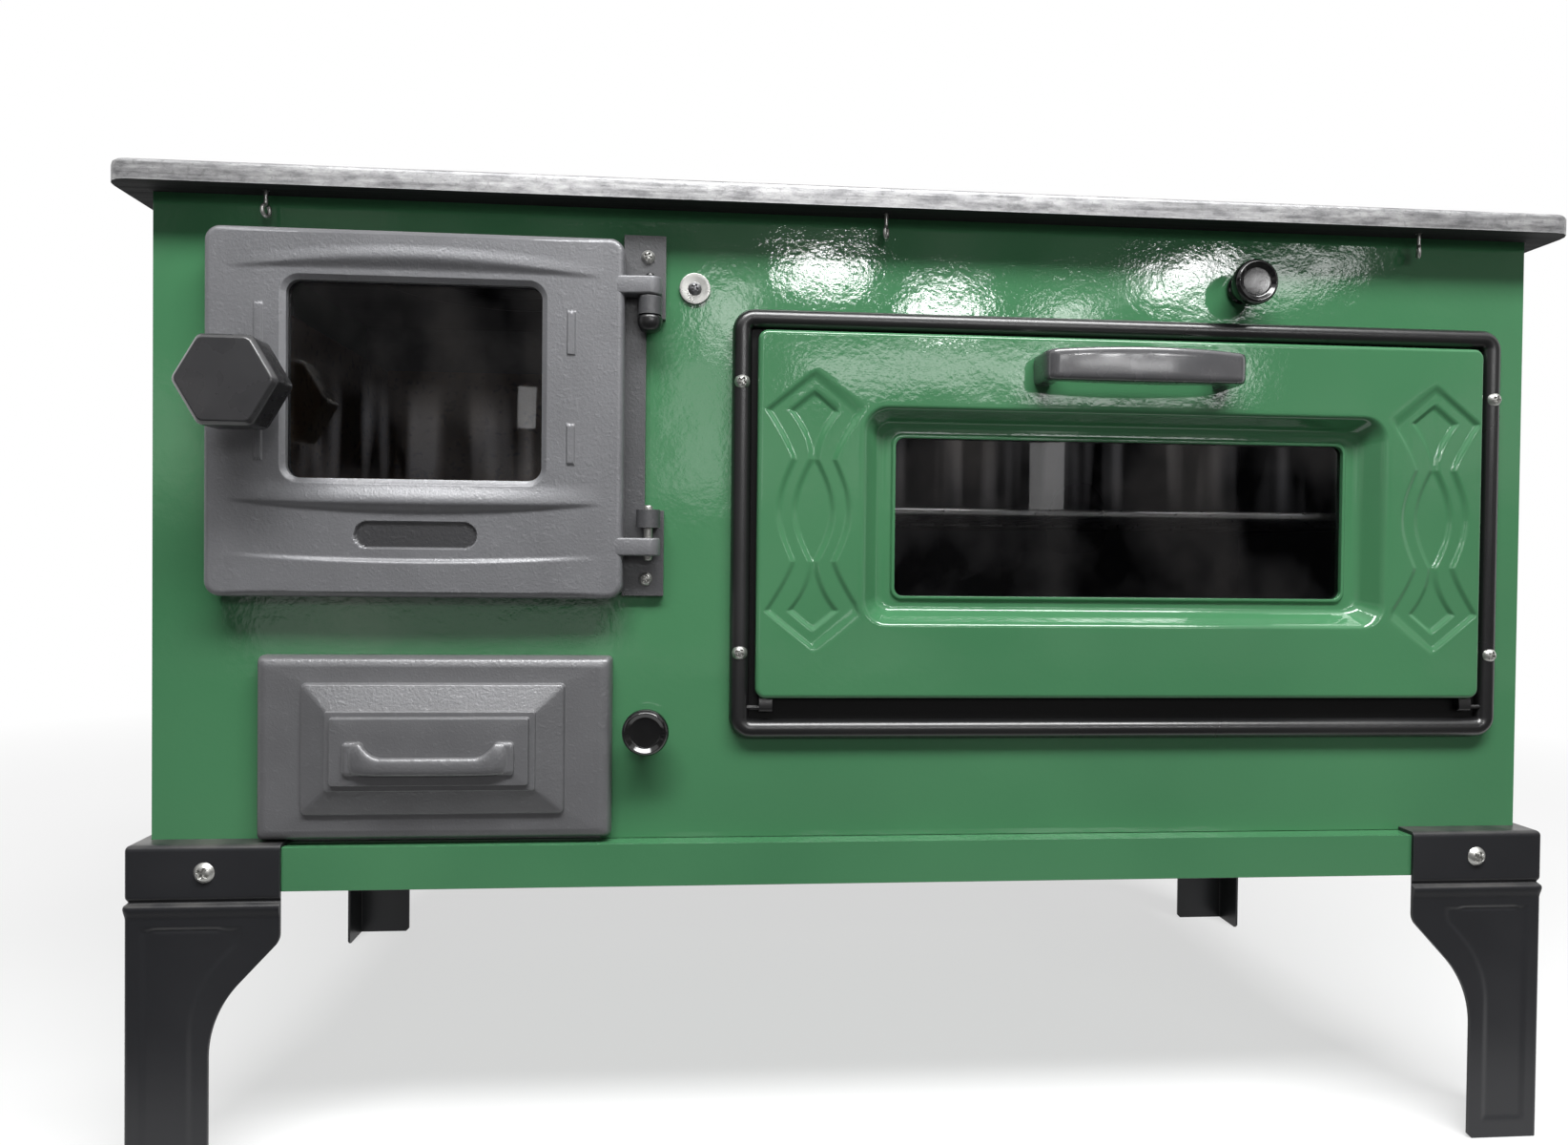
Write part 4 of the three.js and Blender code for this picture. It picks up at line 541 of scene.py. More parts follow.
def firebrick():
    # Fired clay: pale patches, dark specks and a rough skin, all from the grain
    tree, inputs = newFinish("firebrick")
    dark, light, speck = (0.36, 0.22, 0.11, 1), (0.5, 0.34, 0.2, 1), (0.16, 0.1, 0.07, 1)
    grain = useEffect(tree, "grain", Fine_Scale=420.0, Patch_Scale=26.0, Speck_Scale=160.0)
    base = mixed(tree, grain["Patches"], dark, light)
    speckled = mixed(tree, mathOf(tree, "MULTIPLY", grain["Specks"], 0.6), base, speck)
    tree.links.new(speckled, inputs["Base Color"])
    tree.links.new(between(tree, grain["Fine"], 0.3, 0.7, 0.85, 0.98), inputs["Roughness"])
    bumped(tree, inputs, grain["Fine"], 0.0006)


def ropeSeal():
    # Braided glass-fibre rope: two crossing waves on the piece's own coordinates
    tree, inputs = newFinish("rope_seal")
    dark, light = (0.4, 0.38, 0.33, 1), (0.68, 0.66, 0.6, 1)
    where = addNode(tree, "TexCoord").outputs["Object"]
    braids = []
    for turn in (0.0, math.pi / 2):
        leaning = addNode(tree, "Mapping", Vector=where, Rotation=(0.0, turn, 0.0)).outputs[0]
        wave = addNode(
            tree, "TexWave", {"bands_direction": "DIAGONAL"}, Vector=leaning, Scale=180.0, Distortion=1.5,
        )
        braids.append(wave.outputs["Fac"])
    braid = mathOf(tree, "MULTIPLY", *braids)
    tree.links.new(mixed(tree, braid, dark, light), inputs["Base Color"])
    tree.links.new(between(tree, braid, 0.0, 1.0, 0.85, 0.98), inputs["Roughness"])
    bumped(tree, inputs, braid, 0.0008)


def doorGlass():
    # Heat-proof glass, slightly smoked: clear transmission under a hard gloss
    tree, inputs = newFinish("door_glass", Transmission_Weight=1.0, IOR=1.5)
    grain = useEffect(tree, "grain", Patch_Scale=24.0)
    smoke = mixed(tree, grain["Patches"], (0.34, 0.34, 0.35, 1), (0.5, 0.5, 0.51, 1))
    tree.links.new(smoke, inputs["Base Color"])
    tree.links.new(between(tree, grain["Patches"], 0.3, 0.7, 0.0, 0.03), inputs["Roughness"])


enamel("green_enamel", (0.062, 0.2, 0.092), (0.052, 0.175, 0.08), 0.03, 0.3, 0.055, 0.5)
enamel("black_enamel", (0.009, 0.009, 0.0095), (0.0055, 0.0055, 0.006), 0.24, 0.1, 0.04, 0.7)
# A darker, duller copy of black_enamel for the oven frame's ledge: painted shade, as the ledge lies deep in
# shadow under the door
enamel("painted_shade_enamel", (0.004, 0.004, 0.0042), (0.003, 0.003, 0.0032), 0.4, 0.1, 0.04, 0.2)
casting("grey_casting", (0.155, 0.157, 0.166), (0.36, 0.36, 0.37), 0.4, 0.2)
# A darker copy of grey_casting for the fire door's frame: painted shade, as the frame sits in shadow under
# the plate
casting("painted_shade_casting", (0.055, 0.056, 0.06), (0.2, 0.2, 0.2), 0.42, 0.1)
casting("dark_casting", (0.125, 0.126, 0.132), (0.3, 0.3, 0.31), 0.36, 0.2)
groundIron()
legPaint()
brightMetal("zinc", (0.36, 0.36, 0.345), (0.54, 0.54, 0.515), 0.34)
brightMetal("raw_sheet", (0.16, 0.16, 0.165), (0.3, 0.3, 0.31), 0.42)
bakelite("bakelite", 0.026, 0.035, 0.24, 0.3)
bakelite("knob_black", 0.0025, 0.004, 0.1, 0.3)
# A lighter copy of the black bakelite for the oven handle: painted sheen, standing in for the broad lamp
# reflection along its bowed front
bakelite("painted_sheen_bakelite", 0.06, 0.078, 0.22, 1.0)
firebrick()
ropeSeal()
doorGlass()
slotOf = {part["node"]: part["material_slot"] for part in frame["record"]["subparts"]}
for nodeName, node in frame["nodes"].items():
    node.data.materials.clear()
    node.data.materials.append(materials[slotOf[nodeName]])
print("materials made:", len(materials))


# Fire door: one shell from the outer rim over the face, through the window and round the hollow back

def fireDoor():
    # Rounded rectangles joined ring by ring; between the rim and the window, outer * (1 - t) + inner * t
    size = {
        "face": 20, "back": 5.8, "plate": 12, "rim": 6, "corner": 10, "roll": 4, "windowCorner": 9,
        "chamfer": 3.4, "chamferDepth": 2, "glassSeat": 14, "glassBack": 9.7, "seatGap": 0.3, "rimLip": 3,
        "gasketIn": 7.5, "glassLap": 5, "hollowCorner": 4, "leastCorner": 0.01, "faceRings": 92,
        "rimShare": 0.6, "chamferShare": 0.8,
    }
    grid = {"cornerSteps": 12, "across": 190, "up": 150}
    grow = np.array([-1, 1, -1, 1])
    rect = rectOf("fire_door_gasket", size["gasketIn"])
    window = rectOf("fire_door_glass", -size["glassLap"])
    turns = np.linspace(0, math.pi / 2, 8)
    roll = size["roll"] * (1 - np.cos(turns))
    edgeOut = size["face"] - size["roll"] * (1 - np.sin(turns))
    edge = np.stack([roll, roll, edgeOut, size["corner"] - roll], -1)
    outline = roundedLoops(drawnIn(rect, roll, roll), edge[:, 3] + size["leastCorner"], **grid)

    def loopAt(box, radius):
        # One rounded rectangle with as many points as the others
        return roundedLoops(np.asarray([box]), np.asarray([float(radius)]), **grid)[0]

    outer = outline[-1]
    chamferEdge = loopAt(window + size["chamfer"] * grow, size["windowCorner"] + size["chamfer"])
    share = np.linspace(0, 1, size["faceRings"])[1:, None, None]
    face = outer[None] * (1 - share) + chamferEdge[None] * share
    chamfer = []
    for t in np.linspace(0, math.pi / 2, 5)[1:]:
        wider = size["chamfer"] * math.cos(t)
        out = size["face"] - size["chamferDepth"] * (1 - math.cos(t))
        chamfer.append((loopAt(window + wider * grow, size["windowCorner"] + wider), out))
    seat = window + (size["glassLap"] + size["seatGap"]) * grow
    lip = seat + size["rimLip"] * grow
    inside = rect - size["rim"] * grow
    back = [
        (window, size["windowCorner"], size["glassSeat"]), (seat, size["windowCorner"], size["glassSeat"]),
        (seat, size["windowCorner"], size["glassBack"]), (lip, size["windowCorner"], size["glassBack"]),
        (lip, size["windowCorner"], size["plate"]), (inside, size["hollowCorner"], size["plate"]),
        (inside, size["hollowCorner"], size["back"]), (rect, size["corner"], size["back"]),
    ]
    loops = np.concatenate([
        outline, face, np.stack([loop for loop, out in chamfer]),
        np.stack([loopAt(box, radius) for box, radius, out in back]),
    ])
    outs = np.concatenate([
        edge[:, 2], np.full(len(face), size["face"]), [out for _, out in chamfer], [out for *_, out in back],
    ])
    x, z = loops[..., 0], loops[..., 1]
    # How much of the relief each ring takes: none on the edge and the back, all of it on the face
    shaped, faceEnd = np.zeros(len(outs)), len(edge) + len(face)
    shaped[len(edge) - 2:faceEnd] = 1
    shaped[faceEnd:faceEnd + len(chamfer)] = np.linspace(size["chamferShare"], 0, len(chamfer))
    shaped[len(edge) - 2] = size["rimShare"]
    relief, hollow = fireDoorRelief(x, z, rect, window)
    out = outs[:, None] + shaped[:, None] * relief
    casting = shell(np.stack([x, frontY - out, z], -1), joined=True)
    makePiece(
        "fireDoorCasting", [casting, *fireDoorLugs(rect), latchBoss()],
        "grey_casting", "hinged_fire_door", ["fire_door"], hollow=shaped[:, None] * hollow,
    )


def fireDoorRelief(x, z, rect, window):
    # Heights on the door's face: a brow over the window, a sill under it, a foot, four ribs and a plain
    # sunk oval. The long ones swell towards the middle as 1 - across^2
    size = {
        "sideIn": 14, "brow": 3.9, "browShare": 0.8, "browFoot": 27, "browArch": 9.5, "browFallShare": 0.3,
        "browFall": 8, "sill": 4.6, "sillTop": 1, "sillCrest": 15, "sillFall": 8.5, "foot": 2.4,
        "footUp": 28, "footSag": 4, "footStep": 3.5, "least": 0.5, "darkShare": 0.9,
    }
    rib = {"wide": 5, "tall": 1.1, "soft": 0.9, "sideIn": 34.5, "upper": (78, 50), "lower": (89, 115)}
    oval = {"wide": 78, "tall": 17, "up": 41, "deep": 1.8, "soft": 0.8}
    left, right, low, high = rect
    middle = (left + right) / 2
    across = (x - middle) / ((right - left) / 2 - size["sideIn"])
    swell = np.clip(1 - across ** 2, 0, 1)
    foot = high - size["browFoot"]
    arch = foot + size["browArch"] * swell
    brow = size["brow"] * swell
    rise = smooth((z - foot) / np.maximum(arch - foot, size["least"]))
    drop = size["browFallShare"] * smooth((z - arch) / size["browFall"])
    height = size["browShare"] * brow * rise * (1 - drop)
    crest = window[2] - size["sillCrest"]
    sill = size["sill"] * swell
    slope = smooth((window[2] - size["sillTop"] - z) / (size["sillCrest"] - size["sillTop"]))
    drop = size["sillFall"] * swell
    fall = smooth((z - crest + drop) / np.maximum(drop, size["least"]))
    height = np.where(z < window[2], height + sill * slope * fall, height)
    line = low + size["footUp"] - size["footSag"] * swell
    height += np.where(z < window[2], size["foot"] * swell * smooth((line - z) / size["footStep"] + 0.5), 0)

    def bump(x0, x1, z0, z1, soft):
        # smooth(distance inside the rectangle / soft + 1/2)
        inside = np.minimum(np.minimum(x - x0, x1 - x), np.minimum(z - z0, z1 - z))
        return smooth(inside / soft + 0.5)

    upper = [high - up for up in rib["upper"]]
    lower = [low + up for up in rib["lower"]]
    for ribX in (left + rib["sideIn"], right - rib["sideIn"]):
        for z0, z1 in (upper, lower):
            height += rib["tall"] * bump(ribX - rib["wide"] / 2, ribX + rib["wide"] / 2, z0, z1, rib["soft"])
    half = oval["wide"] / 2 - oval["tall"] / 2
    distance = np.hypot(np.maximum(np.abs(x - middle) - half, 0), z - low - oval["up"])
    sunk = smooth((oval["tall"] / 2 - distance) / oval["soft"] + 0.5)
    # The second result marks the sunk oval for darkening: the badge's dark paint together with painted shade
    return height - oval["deep"] * sunk, size["darkShare"] * sunk


def fireDoorLugs(rect):
    # Two rounded tongues from the door's edge to the hinge line, a half circle round the pin
    size = {
        "reach": 16.5, "depth": 14, "barrel": 8, "thick": 12, "topIn": 24.5, "bottomIn": 29, "round": 1.4,
        "overlap": 5, "slim": 2,
    }
    hingeX, hingeY = rect[1] + size["reach"], frontY - size["depth"]
    turn = np.linspace(-math.pi / 2, math.pi / 2, 20)
    plan = np.concatenate([
        np.array([[rect[1] - size["overlap"], size["slim"] - size["barrel"]]]),
        np.stack([hingeX + size["barrel"] * np.cos(turn), size["barrel"] * np.sin(turn)], -1),
        np.array([[rect[1] - size["overlap"], size["barrel"] - size["slim"]]]),
    ])
    middle = plan.mean(0)
    lugs = []
    for z0 in (rect[3] - size["topIn"] - size["thick"], rect[2] + size["bottomIn"]):
        turns = np.linspace(0, math.pi / 2, 4)
        ins = size["round"] * (1 - np.sin(turns))
        rise = size["round"] * (1 - np.cos(turns))
        heights = np.concatenate([z0 + rise, z0 + size["thick"] - rise[::-1]])
        rings = [
            np.column_stack([middle + (plan - middle) * (1 - i / size["barrel"]), np.full(len(plan), z)])
            for i, z in zip(np.concatenate([ins, ins[::-1]]), heights)
        ]
        lugs.append(shell(np.stack(rings) + np.array([0, hingeY, 0])))
    return lugs


def latchBoss():
    # A round seat for the spindle: a rounded rectangle turned about the spindle's line
    size = {"radius": 11, "bore": 5.4, "face": 20, "sunk": 3, "rise": 4, "round": 1.5}
    centre = middleOf("latch_spindle")[0], middleOf("latch_knob")[2]
    low, high = size["face"] - size["sunk"], size["face"] + size["rise"]
    profile = eased([
        [size["bore"], low, 0], [size["radius"], low, 0], [size["radius"], high, 0], [size["bore"], high, 0],
    ], size["round"])
    return shell(turned(centre, frontY, profile[:, :2]), joined=True)


# Latch knob: a hexagon with rounded corners and a bevelled rim, flat in front

def roundedPolygon(sides, radius, rounding, steps=5):
    # Corners on a circle, each turned into a curve begun `rounding` away along both edges
    angles = 2 * math.pi * np.arange(sides) / sides
    corner = radius * np.stack([np.cos(angles), np.sin(angles)], -1)
    ahead, behind = np.roll(corner, -1, 0), np.roll(corner, 1, 0)
    pull = rounding / radius
    start, end = corner + (behind - corner) * pull, corner + (ahead - corner) * pull
    t = np.linspace(0, 1, steps + 1)[None, :, None]
    return curved(start[:, None], corner[:, None], end[:, None], t).reshape(-1, 2)


def latchKnob():
    # A profile of [radius, depth] carried round the hexagon: outline * radius
    size = {
        "radius": 31.8, "rounding": 3.2, "depth": 27, "bevel": 3, "backOut": 39, "bore": 5.5, "boreDeep": 8,
        "backBevel": (2.5, 3), "middle": 2, "rounds": (0, 0.3, 1.2, 1.2, 0.8, 0.8, 0),
    }
    centre = middleOf("latch_knob")
    radius, depth, backIn = size["radius"], size["depth"], size["backBevel"]
    profile = eased([
        [size["bore"], size["boreDeep"], 0], [size["bore"], 0, 0], [radius - backIn[0], 0, 0],
        [radius, backIn[1], 0], [radius, depth - size["bevel"], 0], [radius - size["bevel"], depth, 0],
        [size["middle"], depth, 0],
    ], size["rounds"])
    outline = roundedPolygon(6, 1, size["rounding"] / size["radius"])
    loops = profile[:, None, :1] * outline[None]
    x, z = centre[0] + loops[..., 0], centre[2] + loops[..., 1]
    y = np.broadcast_to(frontY - size["backOut"] - profile[:, 1:2], x.shape)
    makePiece("latchKnob", [shell(np.stack([x, y, z], -1))], "bakelite", "turning_latch", ["latch_knob"], 28)


def pullKnob(name, node, body):
    # A turned knob: foot, waist, cone, rounded rim and a shallow dish in front
    size = {
        "rim": 15.6, "neck": 9.5, "foot": 11, "length": 24, "start": 1.2, "mouth": 13.2, "floor": 10.2,
        "dish": 2.4, "bore": 4.5, "boreDeep": 10, "footTop": 3.6, "waist": 5.6, "coneFoot": 9,
        "coneSwell": 0.6, "coneTop": 16.5, "bevel": 2, "middle": 2,
        "rounds": (0, 0.4, 0.6, 1, 2, 3, 2, 1.4, 1.2, 0.5, 0.8, 0),
    }
    centre, length, start, foot = middleOf(node), size["length"], size["start"], size["foot"]
    profile = eased([
        [size["bore"], start + size["boreDeep"], 0], [size["bore"], start, 0], [foot, start, 0],
        [foot, size["footTop"], 0], [size["neck"], size["waist"], 0],
        [size["neck"] + size["coneSwell"], size["coneFoot"], 0], [size["rim"], size["coneTop"], 0],
        [size["rim"], length - size["bevel"], 0], [size["rim"] - size["bevel"], length, 0],
        [size["mouth"], length, 0], [size["floor"], length - size["dish"], 0],
        [size["middle"], length - size["dish"], 0],
    ], size["rounds"])
    knob = shell(turned((centre[0], centre[2]), frontY, profile[:, :2], 64))
    makePiece(name, [knob], "knob_black", body, [node])


# Screws: a domed head with a cross recess, on a plain shank

def screwShell(centre, faceY, head, rise, shank, length, facing=1):
    # The head's height over its radius is rise * (1 - r^2.6), less the depth of two crossing slots
    cross = {
        "turn": 0.5, "wideShare": 0.15, "wallShare": 0.1, "longShare": 0.6, "endShare": 0.12,
        "deepShare": 0.55,
    }
    tip, seat = 0.3, 0.01
    angles = np.linspace(0, 2 * math.pi, 64, endpoint=False)
    shares = np.concatenate([np.linspace(1, 0.7, 6), np.linspace(0.66, 0.03, 22)])[:, None]
    u, v = shares * np.cos(angles + cross["turn"]), shares * np.sin(angles + cross["turn"])

    def slot(a, b):
        # 1 inside a long rectangle, falling to 0 over its walls
        across = smooth((cross["wideShare"] - np.abs(a)) / cross["wallShare"] + 0.5)
        return across * smooth((cross["longShare"] - np.abs(b)) / cross["endShare"])

    dome = rise * (1 - shares ** 2.6) * np.ones_like(u)
    dome -= cross["deepShare"] * rise * np.maximum(slot(u, v), slot(v, u))
    top = np.stack([centre[0] + head * shares * np.cos(angles), faceY - facing * dome,
                    centre[1] + head * shares * np.sin(angles)], -1)
    under = turned(centre, faceY, [[tip, -length], [shank, -length], [shank, seat]], 64, facing)
    return shell(np.concatenate([under, top]))


def screws():
    # Place, radius and length come from each node's box; the screws of the rear legs face backwards
    rises, shankShare = {"frame": 3, "stay": 2.8, "oven": 3.6, "leg": 3.6}, 0.45
    heads = ["frame_screw_top", "frame_screw_bottom", "stay_bolt"]
    heads += [f"oven_frame_screw_{row}_{side}" for row in ("upper", "lower") for side in ("left", "right")]
    heads += [f"leg_screw_{end}_{side}" for end in ("front", "rear") for side in ("left", "right")]
    for node in heads:
        low, high = cornersOf(node)
        rise = rises[node.split("_")[0]]
        facing = -1 if "rear" in node else 1
        faceY = low[1] + rise if facing > 0 else high[1] - rise
        length = high[1] - low[1] - rise
        head = (high[0] - low[0]) / 2
        centre = ((low[0] + high[0]) / 2, (low[2] + high[2]) / 2)
        finish = "raw_sheet" if node == "stay_bolt" else "zinc"
        shape = screwShell(centre, faceY, head, rise, head * shankShare, length, facing)
        makePiece(node + "_cross", [shape], finish, "stove_body", [node])


def stayWasher():
    # A flat ring turned about its bolt, bevelled outside and in
    size = {"hole": 3.5, "bevel": 2, "innerBevel": 1, "drop": 0.3, "round": 0.35}
    low, high = cornersOf("stay_washer")
    centre = ((low[0] + high[0]) / 2, (low[2] + high[2]) / 2)
    radius, thick, hole = (high[0] - low[0]) / 2, high[1] - low[1], size["hole"]
    profile = eased([
        [hole, 0, 0], [radius, 0, 0], [radius, thick, 0], [radius - size["bevel"], thick, 0],
        [hole + size["innerBevel"], thick - size["drop"], 0], [hole, thick - size["drop"], 0],
    ], size["round"])
    makePiece("stayWasher", [shell(turned(centre, high[1], profile[:, :2], 64), joined=True)], "zinc",
              "stove_body", ["stay_washer"])


# Ash drawer front: a rolled edge, a sloping frustum, a second low tier and a bow handle

def ashDrawer():
    # Rounded rectangles along a profile of [in along x, in along z, out, corner], then the bow and its pads
    size = {
        "face": 14, "edge": 6.5, "roll": 6, "back": 0.5, "hollowIn": 18, "hollowOut": 8, "baseX": 30.2,
        "baseZ": 17.7, "slopeX": 18.2, "slopeZ": 17.7, "rise": 10, "tierIn": 3.5, "tierRise": 3,
        "tierSlope": 0.5, "corner": 3.5, "riser": 2.6, "step": 1.5, "riserLean": 0.7, "rim": 0.3,
        "edgeShare": 0.3, "fieldIn": (14, 12), "least": 1, "edgeCorner": 2, "fieldCorner": 3,
        "topCorner": 1.6, "tierCorner": 1.4,
        "rounds": (0, 0.3, 0.5, 3, 2.5, 2.5, 0.4, 1.3, 0.4, 0.7, 0.5, 0.8, 0),
    }
    rect = rectOf("ash_drawer_front")
    top, tier = size["face"] + size["rise"], size["face"] + size["rise"] + size["tierRise"]
    footX, footZ = size["baseX"] + size["slopeX"], size["baseZ"] + size["slopeZ"]
    tierX, tierZ = footX + size["tierIn"], footZ + size["tierIn"]
    edge, share = size["edge"], size["edgeShare"]
    leanX, leanZ = size["baseX"] + size["riserLean"], size["baseZ"] + size["riserLean"]
    fieldIn = size["fieldIn"]
    profile = eased([
        [size["hollowIn"], size["hollowIn"], size["hollowOut"], size["least"]],
        [size["hollowIn"], size["hollowIn"], size["back"], size["least"]],
        [0, 0, size["back"], size["corner"]],
        [0, 0, size["face"] - size["roll"], size["corner"]],
        [edge * share, edge * share, size["face"] - size["roll"] * share, size["corner"]],
        [edge, edge, size["face"], size["edgeCorner"]],
        [size["baseX"], size["baseZ"], size["face"], size["fieldCorner"]],
        [leanX, leanZ, size["face"] + size["riser"], size["fieldCorner"]],
        [footX - size["rim"], footZ - size["rim"], top - size["step"], size["topCorner"]],
        [footX, footZ, top, size["topCorner"]],
        [tierX, tierZ, top, size["topCorner"]],
        [tierX + size["tierSlope"], tierZ + size["tierSlope"], tier, size["tierCorner"]],
        [tierX + fieldIn[0], tierZ + fieldIn[1], tier, size["least"]],
    ], size["rounds"], 5)
    shells = [shell(frontRings(rect, profile, 5, 24, 12))]
    handle = {
        "half": 54.7, "reach": 35, "pad": 13, "padTall": 22, "padThick": 3, "bar": 12, "thick": 7,
        "below": 4, "gap": 0.3, "sunk": 1, "flareStartShare": 0.6, "flareShare": 0.28, "flarePower": 2.2,
        "padSunk": 0.5, "padEdgeShare": 0.6, "padBevel": 2.2, "padFlat": 5, "padCorners": (3, 1.5, 1),
        "padRounds": (0, 1.2, 1.2, 0), "power": 2.5,
    }
    middleX, middleZ = (rect[0] + rect[1]) / 2, (rect[2] + rect[3]) / 2 - handle["below"]
    span = handle["half"] - handle["pad"] / 2
    reach = handle["reach"] - handle["thick"] / 2 - handle["gap"]
    # The bow is a superellipse; near the pads its height grows by the power `flarePower`
    turns = np.linspace(0, math.pi, 61)
    across = -np.sign(np.cos(turns)) * np.abs(np.cos(turns)) ** (2 / 3)
    bow = np.abs(np.sin(turns)) ** (2 / 3)
    flare = np.clip((np.abs(across) - handle["flareStartShare"]) / handle["flareShare"], 0, 1)
    flare = flare ** handle["flarePower"]
    tall = handle["bar"] + (handle["padTall"] - handle["sunk"] - handle["bar"]) * flare
    path = np.stack([
        middleX + span * across, frontY - tier + handle["sunk"] - (reach - tier + handle["sunk"]) * bow,
        middleZ - handle["padTall"] / 2 + handle["padSunk"] + tall / 2,
    ], -1)
    level = path * np.array([1, 1, 0])
    bar = swept(level, boxySection(handle["thick"] / 2, 0.5, handle["power"], 28), widths=tall)
    bar[..., 2] += path[:, None, 2]
    shells.append(shell(bar))
    padFoot, padFace = tier - handle["padSunk"], tier + handle["padThick"]
    padEdge = tier + handle["padThick"] * handle["padEdgeShare"]
    corners, bevel, flat = handle["padCorners"], handle["padBevel"], handle["padFlat"]
    padProfile = eased([
        [0, 0, padFoot, corners[0]], [0, 0, padEdge, corners[0]], [bevel, bevel, padFace, corners[1]],
        [flat, flat, padFace, corners[2]],
    ], handle["padRounds"])
    for side in (-1, 1):
        centre = middleX + side * span
        pad = np.array([centre - handle["pad"] / 2, centre + handle["pad"] / 2,
                        middleZ - handle["padTall"] / 2, middleZ + handle["padTall"] / 2])
        shells.append(shell(frontRings(pad, padProfile, 5)))
    makePiece("ashDrawerCasting", shells, "dark_casting", "sliding_ash_drawer", ["ash_drawer_front"], 40)


# Legs: one folded sheet each, lipped over the tray, with a crease, a roll under it and a sunk panel

def legWidth(z, size, wide, foot, top):
    # Width at a height: full above the shoulder, then its round, a slope, a hollow and the foot's width
    turn, shoulderZ = size["turn"], size["trayTop"] - size["shoulder"]
    rounds = size["shoulderRound"] + size["hollowRound"]
    across = wide - foot - rounds * (1 - math.cos(turn))
    hollowZ = shoulderZ - rounds * math.sin(turn) - across / math.tan(turn)
    angles, nib = np.linspace(0, turn, 16), size["footNib"]
    heights = np.concatenate([
        [0, nib], hollowZ + size["hollowRound"] * np.sin(angles),
        (shoulderZ - size["shoulderRound"] * np.sin(angles))[::-1], [top],
    ])
    widths = np.concatenate([
        [foot - nib, foot], foot + size["hollowRound"] * (1 - np.cos(angles)),
        (wide - size["shoulderRound"] * (1 - np.cos(angles)))[::-1], [wide],
    ])
    return np.interp(z, heights, widths)


